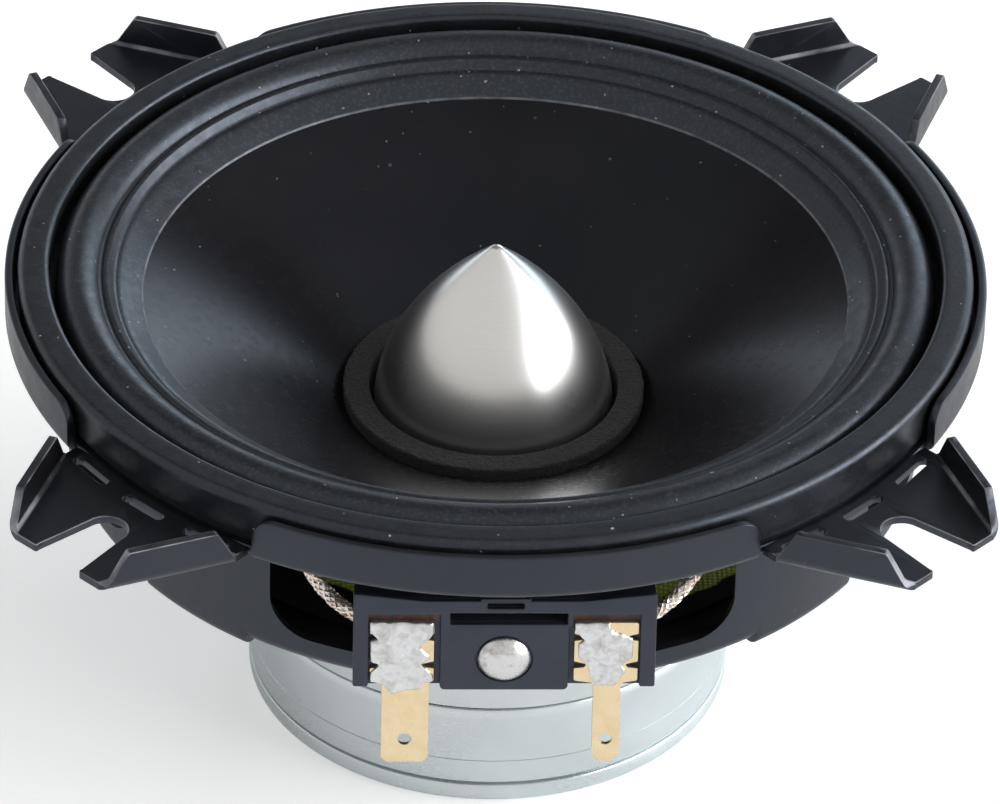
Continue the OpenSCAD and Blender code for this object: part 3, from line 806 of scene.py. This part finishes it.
EAR_SPREAD = radians(25)
EAR_EDGE = Vector((ear_tip_r - 0.7, ear_tip_half))
EAR_ALONG = Vector((-cos(EAR_SPREAD), sin(EAR_SPREAD)))
EAR_OUT = Vector((sin(EAR_SPREAD), cos(EAR_SPREAD)))
EAR_BEND_R = 0.95
EAR_BEND_U = 0.45 - EAR_BEND_R
EAR_ARC = EAR_BEND_R * pi / 2


def ear_point(s, u):
    """A point of the flat blank: s along the side's bottom edge from the tip, u outwards from it."""
    p = EAR_EDGE + EAR_ALONG * s + EAR_OUT * u
    return p.x, p.y


def ear_blank():
    """The ear's outline before its sides are bent up; it points along +X."""
    rise = EAR_BEND_U + EAR_ARC + 3.1
    side = [
        (48.6, 12.2), (*ear_point(13.6, 0.1), 0.5), (*ear_point(13.1, 1.0), 0.4),
        (*ear_point(11.4, rise), 0.5), (*ear_point(2.0, rise), 0.5), (*ear_point(0.1, 0.9), 0.4),
        (ear_tip_r, ear_tip_half - 0.5, 0.4), (ear_tip_r, 2.75, 0.3),
    ]
    slot = arc(56.5, 0, 2.25, 90, 270, 20)
    return fillet(side) + slot + fillet([(x, -y, *r) for x, y, *r in reversed(side)])


def foot_slots():
    """Three narrow slots side by side in an ear's foot."""
    foot_r, long, half, apart = 51.2, 2.15, 0.55, 9.2
    ring = arc(0, long, half, 0, 180, 8)
    ring += [(-x, -y) for x, y in ring]
    return [[spin(foot_r + x, y, apart * s) for x, y in ring] for s in (-1, 0, 1)]


def ear_data(turn):
    """A forked ear: a flat blank whose two sides are bent up."""
    verts, faces = plate_data(dense(ear_blank(), 1.2), foot_slots(), flange_under, depth, 0.1)
    bm = bmesh.new()
    made = [bm.verts.new(v) for v in verts]
    for f in faces:
        try:
            bm.faces.new([made[i] for i in f])
        except ValueError:
            pass
    bmesh.ops.remove_doubles(bm, verts=bm.verts, dist=1e-5)
    steps = 7
    for side in (1, -1):
        edge, normal = (Vector((v.x, side * v.y, 0)) for v in (EAR_EDGE, EAR_OUT))
        for k in range(steps + 1):
            at = edge + normal * (EAR_BEND_U + EAR_ARC * k / steps)
            geom = bm.verts[:] + bm.edges[:] + bm.faces[:]
            bmesh.ops.bisect_plane(bm, geom=geom, plane_co=at, plane_no=normal, dist=1e-5)
    middle = (flange_under + depth) / 2
    for v in bm.verts:
        side = 1 if v.co.y > 0 else -1
        p = Vector((v.co.x - EAR_EDGE.x, side * v.co.y - EAR_EDGE.y))
        s, u = p.dot(EAR_ALONG), p.dot(EAR_OUT)
        if u > EAR_BEND_U and v.co.x > 50.4:
            r = EAR_BEND_R - (v.co.z - middle)
            phi = min((u - EAR_BEND_U) / EAR_BEND_R, pi / 2)
            up = middle + EAR_BEND_R - r * cos(phi) + max(0, u - EAR_BEND_U - EAR_ARC)
            x, y = ear_point(s, EAR_BEND_U + r * sin(phi))
            v.co = (x, side * y, up)
    bmesh.ops.triangulate(bm, faces=[f for f in bm.faces if len(f.verts) > 4])
    bm.verts.index_update()
    verts = [(*spin(v.co.x, v.co.y, turn), v.co.z) for v in bm.verts]
    faces = [[v.index for v in f.verts] for f in bm.faces]
    bm.free()
    return verts, faces


def basket():
    shell = lathe("stamped_basket", shell_profile(), 480, body=None)
    window = fillet([(-23.5, 32.1, 4), (23.5, 32.1, 4), (23.5, 43.6, 1.5), (-23.5, 43.6, 1.5)], 8)
    cuts = [add_mesh(f"window_{a}", *turned(front(cutter(window, 34.6, 47)), a), body=None) for a in SIDES]
    for a in CORNERS:
        hole = arc(*polar(20.6, a), 1.5, 0, 337.5, 15)
        cuts.append(add_mesh(f"hole_{a}", *cutter(hole, 16, 20), body=None))
    parts = [add_mesh(f"lip_{a}", *lip_data(a), body=None) for a in SIDES]
    parts += [add_mesh(f"leg_{a}", *leg_data(a), body=None) for a in CORNERS]
    parts += [add_mesh(f"ear_{a}", *ear_data(a), body=None) for a in CORNERS]
    tab = rect(-6, 6, 31.1, 38.4, 0.3, 0.3, 1.2, 1.2)
    parts.append(add_mesh("tab", *front(plate_data(tab, [], tab_back, board_back, 0.1)), body=None))
    combine(shell, cuts, "DIFFERENCE")
    combine(shell, parts, "UNION")
    weighted(shell)
    shell.data.materials.clear()
    shell.data.materials.append(PAINT)
    place(shell, FIXED, ["basket"], "basket")


basket()


# ---- suspension
def ripple(a, scale, z):
    """Smooth noise that runs round the axis."""
    return noise.noise(Vector((cos(a) * scale, sin(a) * scale, z)))


def gasket():
    """The moulded rubber ring round the front, with a slightly uneven foot where it was glued down."""
    top, low = depth + 5.4, depth + 0.5
    profile = dense([
        (46.35, low), (49.3, low), *arc(48.5, top - 1.15, 0.95, 0, 90, 10),
        *arc(46.75, top - 0.7, 0.55, 90, 180, 6),
    ], 0.6)

    def uneven(r, z, a):
        wave = ripple(a, 9, z * 0.15)
        foot = max(0.0, 1 - (z - low) / 0.7)
        flash = 0.16 * foot * max(0.0, ripple(a, 60, 3)) if r > 49 else 0
        return 0.035 * wave + flash, 0.04 * wave * min(1, z - low)

    lathe("gasket_ring", profile, 720, uneven, smooth=50, nodes=["front_gasket"],
          slot="front_gasket", mat=GASKET)


def surround():
    """Rubber half roll: a bead and two grooves inside, a land on the cone and a foot on the flange."""
    over = [
        (49.0, depth), (49.0, depth + 0.4), (48.9, depth + 0.5), (46.0, depth + 0.5), (45.62, depth + 0.62),
        (45.5, depth + 0.95), *arc(43.2, depth + 2.75, 2.3, 0, 156, 32),
        (40.9, 49.62), (40.78, 49.62), (40.62, 49.8), (40.35, 49.86), (40.05, 49.8), (39.88, 49.56),
        (39.6, 49.12), (39.4, 48.9), (39.25, 48.86), (39.05, 48.88), (38.7, 48.75), (37.9, 48.2),
        (37.0, 47.56), (36.6, 47.28), (36.5, 47.2), (36.46, 47.08),
    ]
    under = [(36.5, 46.98), *((r, cone_z(r)) for r in (37.2, 38.0, 39.0, 39.8)), (40.3, 49.0)]
    under += arc(43.2, depth + 2.75, 1.8, 150, 0, 24)
    under += [(45.0, depth + 1.0), (45.02, depth + 0.3), (45.2, depth + 0.05), (45.5, depth)]

    def uneven(r, z, a):
        return 0, 0.03 * ripple(a, 7, r * 0.4) if 37.5 < r < 45 else 0

    obj = lathe("surround_roll", dense(over + under, 0.7), 720, uneven, smooth=40,
                nodes=["surround"], slot="surround", mat=SURROUND)
    blend_by(obj, lambda x, y, z: smoothstep((45.3 - hypot(x, y)) / 4.4))


def spider():
    """Corrugated cloth disc between the former and the ledge."""
    first_r, width, thick, drop, waves = 16.4, 18.0, 0.35, 0.8, 5
    neck = ledge_top - drop
    over = []
    for t in np.linspace(0, 1, 101):
        wave = 0.75 * (1 - cos(2 * pi * waves * t)) / 2
        over.append((first_r + width * t, ledge_top - drop * (1 - t) + wave))
    profile = [(13.1, neck - 1.2), (13.45, neck - 1.2), (13.5, neck - 0.3), (13.8, neck), *over]
    profile += [(38.2, ledge_top), (38.2, ledge_top + thick), *((r, z + thick) for r, z in reversed(over))]
    profile += [(13.5, neck + thick), (13.1, neck + 0.1)]
    obj = lathe("spider_disc", profile, 300, smooth=60, nodes=["spider"], slot="spider", mat=SPIDER)
    blend_by(obj, lambda x, y, z: smoothstep((34.6 - hypot(x, y)) / 18.4))


gasket()
surround()
spider()


# ---- cone, dust ring and plug
def cone():
    thick = 0.72
    face = [(r, cone_z(r)) for r in np.linspace(13.1, 39.9, 46)]
    profile = face + [(r, z - thick) for r, z in reversed(face)]
    lathe("paper_cone", profile, 480, smooth=50, body=MOVING, nodes=["cone"], slot="cone", mat=CONE)


def dust_ring():
    """A punched felt ring with a rough, slightly furry surface."""
    top = depth - 10.2
    profile = dense([
        (12.95, cone_z(13.1) + 0.06), (13.2, cone_z(13.1) + 0.06), (15.66, cone_z(15.66) - 0.02),
        *arc(15.45, top - 0.25, 0.22, 0, 90, 5), *arc(13.2, top - 0.25, 0.24, 90, 180, 5),
    ], 0.16)

    def rough(r, z, a):
        p = Vector((*polar(r, degrees(a)), z))
        n = noise.noise(p * 2.6) * 0.08 + noise.noise(p * 7.5) * 0.11
        return (n if z > cone_z(r) + 0.1 and r > 14.5 else n * 0.3), n * (0.8 if z > top - 0.5 else 0.1)

    lathe("felt_dust_ring", profile, 720, rough, smooth=70, body=MOVING, nodes=["dust_ring"],
          slot="felt", mat=FELT)


def plug():
    """Turned plug: a straight shank that runs into a bullet nose with a small rounded tip."""
    steps, ball = 90, 1.1
    slope = atan2(nose_l, 2 * plug_r)
    rise = ball * (1 / cos(slope) - 1)
    tip = [(ball * sin(t), plug_tip - ball * (1 - cos(t))) for t in np.linspace(0, slope, 9)]
    nose = []
    for i in range(1, steps + 1):
        t = (i / steps) ** 1.5
        nose.append((plug_r * (2 * t - t * t), plug_tip + rise - (nose_l + rise) * t))
    shank = dense([nose[-1], (plug_r, 18.5)], 1.0, closed=False)
    profile = tip + [p for p in nose if p[0] > tip[-1][0] + 0.1] + shank[1:]
    profile += [(plug_r - 0.35, pole_top), (0, pole_top)]
    lathe("turned_plug", profile, smooth=40, nodes=["phase_plug"], slot="plug", mat=ALUMINIUM)


cone()
dust_ring()
plug()


# ---- motor
def motor():
    r, shoulder, seat = motor_r, motor_r - 0.75, 12.25
    top_plate = [
        (13.95, seat), (r - 0.2, seat), (r - 0.08, seat + 0.03), (r, seat + 0.11), (r, floor_z - 0.5),
        (r - 0.1, floor_z - 0.22), (r - 0.35, floor_z), (13.95, floor_z),
    ]
    sleeve = [
        (shoulder, 2.62), (r - 0.2, 2.62), (r - 0.06, 2.68), (r, 2.82), (r, 5.42), (r - 0.06, 5.46),
        (r - 0.07, 5.5), (r - 0.06, 5.54), (r, 5.58), (r, 12.0), (r - 0.06, 12.08), (r - 0.2, 12.12),
        (shoulder, 12.12),
    ]
    yoke = [
        (2.4, 2.9), (5.3, 0.0), *arc(r - 0.9, 0.9, 0.9, -90, 0, 8), (r, 2.1), (r - 0.07, 2.24),
        (r - 0.2, 2.3), (shoulder + 0.2, 2.3), (shoulder, 2.5), (shoulder, 2.9), (shoulder, 4.5),
        (pole_r, 4.5), (pole_r, pole_top - 0.4), (pole_r - 0.4, pole_top), (2.4, pole_top),
    ]
    pieces = (("front_plate", "top_plate", top_plate), ("zinc_sleeve", "magnet_sleeve", sleeve),
              ("back_yoke", "yoke", yoke))
    for name, node, profile in pieces:
        lathe(name, dense(profile, 1.5), smooth=40, nodes=[node], slot="steel", mat=ZINC)


motor()


# ---- terminals
def board():
    """Moulded board: two open pockets, a slotted centre panel, a shelf behind its top edge, and a rib behind
    the slot that keeps the view through it dark, as painted shade.
    """
    floor_y, half, panel = board_front - 0.6, board_half, panel_half
    back = rect(-half, half, board_low, board_top, 0.4)
    lead_holes = [arc(s * lead_x, lead_z, 0.95, 360, 22.5, 15) for s in (-1, 1)]
    slots = [rect(-5.5, 6.3, 38.6, 40.0, 0.15)[::-1], rect(-1.8, 1.9, 40.55, 41.2, 0.15)[::-1]]
    rivet_hole = arc(0, rivet_z, 1.5, 360, 22.5, 15)
    face = fillet([
        (-half, board_low, 0.25), (-13.65, board_low, 0.25), (-13.65, pocket_top, 0.2),
        (-panel, pocket_top, 0.2), (-panel, 30.4, 0.5), (panel, 30.4, 0.5), (panel, 38.4, 0.1),
        (panel + 0.4, 38.4, 0.1), (panel + 0.4, pocket_top, 0.2), (13.6, pocket_top, 0.2),
        (13.6, board_low, 0.25), (half, board_low, 0.25), (half, 42.4, 0.3), (14.4, 42.3, 0.5),
        (8.0, board_top, 3), (-8.0, board_top, 3), (-14.4, 42.3, 0.5), (-half, 42.4, 0.3),
    ], 4)
    recess = arc(0, rivet_z, 2.85, 360, 11.25, 31)
    disc = arc(0, rivet_z, 2.9, 0, 348.75, 31)
    shelf_r, shelf_half = 44.6, 15.0
    edge = degrees(acos(shelf_half / shelf_r))
    shelf = [(-half, -board_back - 0.05), (half, -board_back - 0.05)]
    shelf += [polar(shelf_r, -a) for a in np.linspace(edge, 180 - edge, 40)]
    ridge = rect(-2.5, 2.6, 41.3, 41.75, 0.05, 0.05, 0.35, 0.35)
    # This rib is a dark block put behind the slot where only shade is seen: painted shade.
    shade_rib = rect(-5.9, 6.7, 37.5, 38.55, 0.1)
    data = [
        front(plate_data(back, [*lead_holes, *slots, rivet_hole], board_back, floor_y, 0.05)),
        front(plate_data(face, [*slots, recess], floor_y - 0.02, board_front, 0.16)),
        front(plate_data(disc, [rivet_hole], floor_y - 0.1, board_front - 0.3, 0.03)),
        plate_data(shelf, [], 40.7, board_top, 0.12),
        front(plate_data(ridge, [], 44.9, board_front - 0.05, 0.12)),
        front(plate_data(shade_rib, [], 43.95, board_back + 0.05, 0.08)),
    ]
    obj = add_mesh("moulded_board", *joined(data), nodes=["terminal_board"], slot="board", mat=BOARD)
    weighted(obj, 40)


def notched_side(x, inner):
    """The notches in one side of a soldering plate, upwards; inner is +1 or -1, towards its middle."""
    notch = [(0, -0.42, 0.12), (inner, -0.3, 0.2), (inner * 1.3, 0.05, 0.2), (0, 0.42, 0.12)]
    return [(x + dx, z + dz, r) for z in (33.5, 36.95) for dx, dz, r in notch]


def terminal(name, x0, x1, blade_x, blade_w, round_end, hole_r, wire_x, node):
    """Soldering plate with two notches a side, and a blade that hangs from it."""
    low, top, end, half = 31.4, 38.8, 21.2, blade_w / 2
    left, right = blade_x - half, blade_x + half
    outline = [(x1, low + 0.1, 0.3), *notched_side(x1, -1), (x1, top, 0.3), (x0, top, 0.3)]
    outline += [*notched_side(x0, 1)[::-1], (x0, low + 0.1, 0.3), (left, low - 0.2, 0.3)]
    if round_end:
        outline += arc(blade_x, end + half, half, 180, 360, 16)
    else:
        cut = 0.6
        outline += [(left, end + cut, 0.15), (left + cut, end, 0.15)]
        outline += [(right - cut, end, 0.15), (right, end + cut, 0.15)]
    outline.append((right, low - 0.2, 0.3))
    holes = [arc(blade_x, 24.1, hole_r, 360, 18, 19), arc(wire_x, lead_z, 0.9, 360, 22.5, 15)]
    data = front(plate_data(fillet(outline, 4), holes, terminal_front - 0.5, terminal_front, 0.09))
    obj = add_mesh(name, *data, nodes=[node], slot="blade", mat=GOLD)
    weighted(obj, 40)


def reach(outline, centre, angle):
    """Distance from centre to the outline along a direction."""
    c, s = cos(angle), sin(angle)
    best = 1e9
    for (x0, y0), (x1, y1) in zip(outline, outline[1:] + outline[:1]):
        ex, ey, px, py = x1 - x0, y1 - y0, x0 - centre[0], y0 - centre[1]
        cross = c * ey - s * ex
        if abs(cross) > 1e-9:
            t, u = (px * ey - py * ex) / cross, (px * s - py * c) / cross
            if t > 0 and 0 <= u <= 1:
                best = min(best, t)
    return best


POOL_LEFT = [
    (-13.5, 31.5, 0.2), (-13.5, 33.1, 0.2), (-12.3, 33.45, 0.2), (-13.5, 33.9, 0.2), (-13.5, 36.6, 0.2),
    (-12.2, 36.95, 0.2), (-13.5, 37.3, 0.2), (-13.5, 38.85, 0.15), (-7.1, 38.85, 0.15), (-7.1, 37.4, 0.3),
    (-8.5, 35.7, 0.3), (-7.3, 34.4, 0.3), (-8.5, 33.5, 0.2), (-7.1, 33.0, 0.2), (-7.1, 31.6, 0.2),
    (-8.3, 31.2, 0.4), (-8.3, 30.4, 0.5), (-9.8, 30.3, 0.8), (-11.4, 29.9, 0.5), (-12.0, 31.1, 0.4),
]
POOL_RIGHT = [
    (7.0, 37.4, 0.2), (7.0, 38.85, 0.15), (10.5, 38.85, 0.2), (10.7, 37.9, 0.5), (12.0, 37.3, 0.5),
    (12.9, 36.8, 0.4), (12.85, 34.5, 0.5), (11.8, 33.6, 0.3), (12.3, 32.8, 0.5), (11.7, 31.9, 0.5),
    (11.2, 31.0, 0.5), (9.2, 30.9, 0.5), (8.6, 32.2, 0.5), (8.35, 33.6, 0.3), (7.4, 34.4, 0.4),
    (7.4, 36.2, 0.4), (8.3, 36.9, 0.3),
]


def solder_blob(name, pool, seed, node):
    """Solder over most of a plate: an uneven pool between the notches, with a tongue on the blade."""
    rings, steps = 26, 240
    outline = fillet(pool, 4)
    cx, cz = sum(p[0] for p in pool) / len(pool), lead_z
    angles = [2 * pi * k / steps for k in range(steps)]
    far = []
    for a in angles:
        c, s = cos(a), sin(a)
        n = noise.noise(Vector((c * 1.6 + seed, s * 1.6, 0.5)))
        n += 0.4 * noise.noise(Vector((c * 5, s * 5, seed)))
        far.append(reach(outline, (cx, cz), a) * (1.01 + 0.025 * n))
    far = [(far[k - 1] + 2 * far[k] + far[(k + 1) % steps]) / 4 for k in range(steps)]
    verts = [(cx, cz, 46.5)]
    for j in range(1, rings + 1):
        t = (j / rings) ** 0.8
        for a, r in zip(angles, far):
            u, w = cx + r * t * cos(a), cz + r * t * sin(a)
            edge = min(1.0, (1 - t) * r / 0.5)
            lump = noise.noise(Vector((u * 0.75 + seed, w * 0.75, seed)))
            lump += 0.6 * noise.noise(Vector((u * 1.9, w * 1.9, seed + 5)))
            height = 0.34 + 0.17 * lump + 0.26 * exp(-((u - cx) ** 2 + (w - cz) ** 2) / 1.6)
            height = max(0.04, min(0.76, height)) * sqrt(max(0.0, edge * (2 - edge)))
            verts.append((u, w, terminal_front - 0.04 + height))
    faces = [[0, 1 + k, 1 + (k + 1) % steps] for k in range(steps)]
    starts = [1 + j * steps for j in range(rings + 1)]
    for a, b in zip(starts, starts[1:]):
        faces += band(a, b, steps)
    verts += [(u, w, terminal_front - 0.1) for u, w, d in verts[-steps:]]
    faces.append(list(range(starts[-1], starts[-1] + steps)))
    add_mesh(name, *front((verts, faces)), smooth=80, nodes=[node], slot="solder", mat=SOLDER)


def rivet():
    """Domed rivet head with a flattened crown, its shank and the set end behind the tab."""
    crown = [(0, 1.16), (0.5, 1.15), (1, 1.1), (1.5, 0.95), (2, 0.68), (2.4, 0.36), (2.62, 0.12), (2.68, 0)]
    profile = [(r, board_front - 0.05 + h) for r, h in crown]
    profile += [(2.6, board_front - 0.28), (1.5, board_front - 0.3), (1.5, tab_back), (2.2, tab_back)]
    profile += [(2.2, tab_back - 0.5), (2.0, tab_back - 0.7), (0, tab_back - 0.7)]
    verts, faces = lathe_data(dense(profile, 0.5), 96)
    verts = [(x, -z, y + rivet_z) for x, y, z in verts]
    add_mesh("board_rivet", verts, faces, smooth=50, nodes=["terminal_rivet"], slot="rivet_steel", mat=RIVET)


board()
terminal("blade_positive", -13.5, -7.05, -9.9, 4.8, False, 0.7, -lead_x, "terminal_positive")
terminal("blade_negative", 7.0, 13.45, 10.4, 2.8, True, 0.65, lead_x, "terminal_negative")
solder_blob("joint_positive", POOL_LEFT, 1.7, "solder_positive")
solder_blob("joint_negative", POOL_RIGHT, 7.3, "solder_negative")
rivet()


# ---- CAD nodes that keep their shape
KEPT = {
    "magnet": FERRITE, "voice_coil_former": DARKENED_FILM, "voice_coil_winding": COPPER, "former_collar": PAPER,
    "neck_glue": GLUE, "spider_glue": GLUE, "lead_anchors": GLUE, "basket_rivets": BLACK_STEEL,
    "plug_screw": BLACK_STEEL,
}
for node, mat in KEPT.items():
    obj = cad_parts[node]
    for slot in obj.material_slots:
        slot.material = mat
    if not obj.material_slots:
        obj.data.materials.append(mat)


# ---- floor and light
def floor():
    """A plain pale floor that the camera sees a little brighter than it lights the object."""
    size = 6.0
    mesh = bpy.data.meshes.new("floor")
    corners = [(-size, -size, 0), (size, -size, 0), (size, size, 0), (-size, size, 0)]
    mesh.from_pydata(corners, [], [[0, 1, 2, 3]])
    obj = bpy.data.objects.new("floor", mesh)
    bpy.context.scene.collection.objects.link(obj)
    p = Paint("pale_floor", (0.93, 0.93, 0.93), 0.9)
    p.put("Base Color", p.mix(p.noise(3, 3), (0.945, 0.945, 0.945), (0.955, 0.955, 0.955)))
    p.put("Emission Color", (0.97, 0.985, 1, 1))
    shown = p.node("LightPath").outputs["Is Camera Ray"]
    p.put("Emission Strength", p.span(shown, 0.0, 1.0, 0.06, 0.34))
    mesh.materials.append(p.mat)


class Sky(Nodes):
    """The studio as a world: large soft windows round a dim room."""

    def __init__(self):
        self.world = bpy.data.worlds.new("studio")
        self.world.use_nodes = True
        super().__init__(self.world.node_tree)
        self.at = self.split(self.node("TexCoord").outputs["Generated"])
        self.flat = self.flat_length(self.at)

    def step(self, value, low, high):
        return self.span(value, low, high, interpolation_type="SMOOTHSTEP")

    def window(self, azimuth, half, low, high, soft):
        """1 inside the window, 0 outside. Azimuth 0 is the side of the terminals, and it grows towards +X."""
        a = radians(azimuth)
        along = self.math("ADD", self.times(self.at[0], sin(a)), self.times(self.at[1], -cos(a)))
        along = self.math("DIVIDE", along, self.flat)
        ends = cos(radians(half + soft)), cos(radians(half - soft))
        lit = self.times(self.step(along, *ends), self.rising(low - soft, low + soft))
        return lit if high >= 90 else self.times(lit, self.rising(high + soft, high - soft))

    def rising(self, start, end):
        """0 at one height in degrees and 1 at the other."""
        return self.step(self.at[2], sin(radians(start)), sin(radians(end)))

    def glow(self, mask, color, strength):
        return self.mix(mask, (0, 0, 0), tuple(c * strength for c in color), clamp_result=False)


# azimuth, half width, lowest and highest edge and softness in degrees, then colour and strength
WINDOWS = (
    (-44, 86, 4, 90, 5, (1, 0.99, 0.95), 0.5),
    (86, 44, 42, 90, 5, (1, 1, 0.99), 0.5),
    (80, 31, 2, 33, 4, (1, 1, 1), 7.0),
    (126, 16, -2, 14, 5, (0.78, 0.9, 1), 1.7),
    (157, 15, 4, 28, 4, (0.76, 0.89, 1), 2.6),
    (-154, 20, 3, 16, 4, (0.84, 0.92, 1), 1.3),
)


def sky():
    """Lights the scene; the camera itself sees a plain pale background."""
    s = Sky()
    total = s.glow(1.0, (1, 0.97, 0.96), 0.2)
    for *place_and_size, color, strength in WINDOWS:
        glow = s.glow(s.window(*place_and_size), color, strength)
        total = s.mix(1.0, total, glow, blend_type="ADD")
    shown = s.mix(s.node("LightPath").outputs["Is Camera Ray"], total, (0.95, 0.95, 0.95))
    s.feed(s.tree.nodes["Background"].inputs["Color"], shown)
    bpy.context.scene.world = s.world
    bpy.context.scene.view_settings.view_transform = "Standard"


floor()
sky()
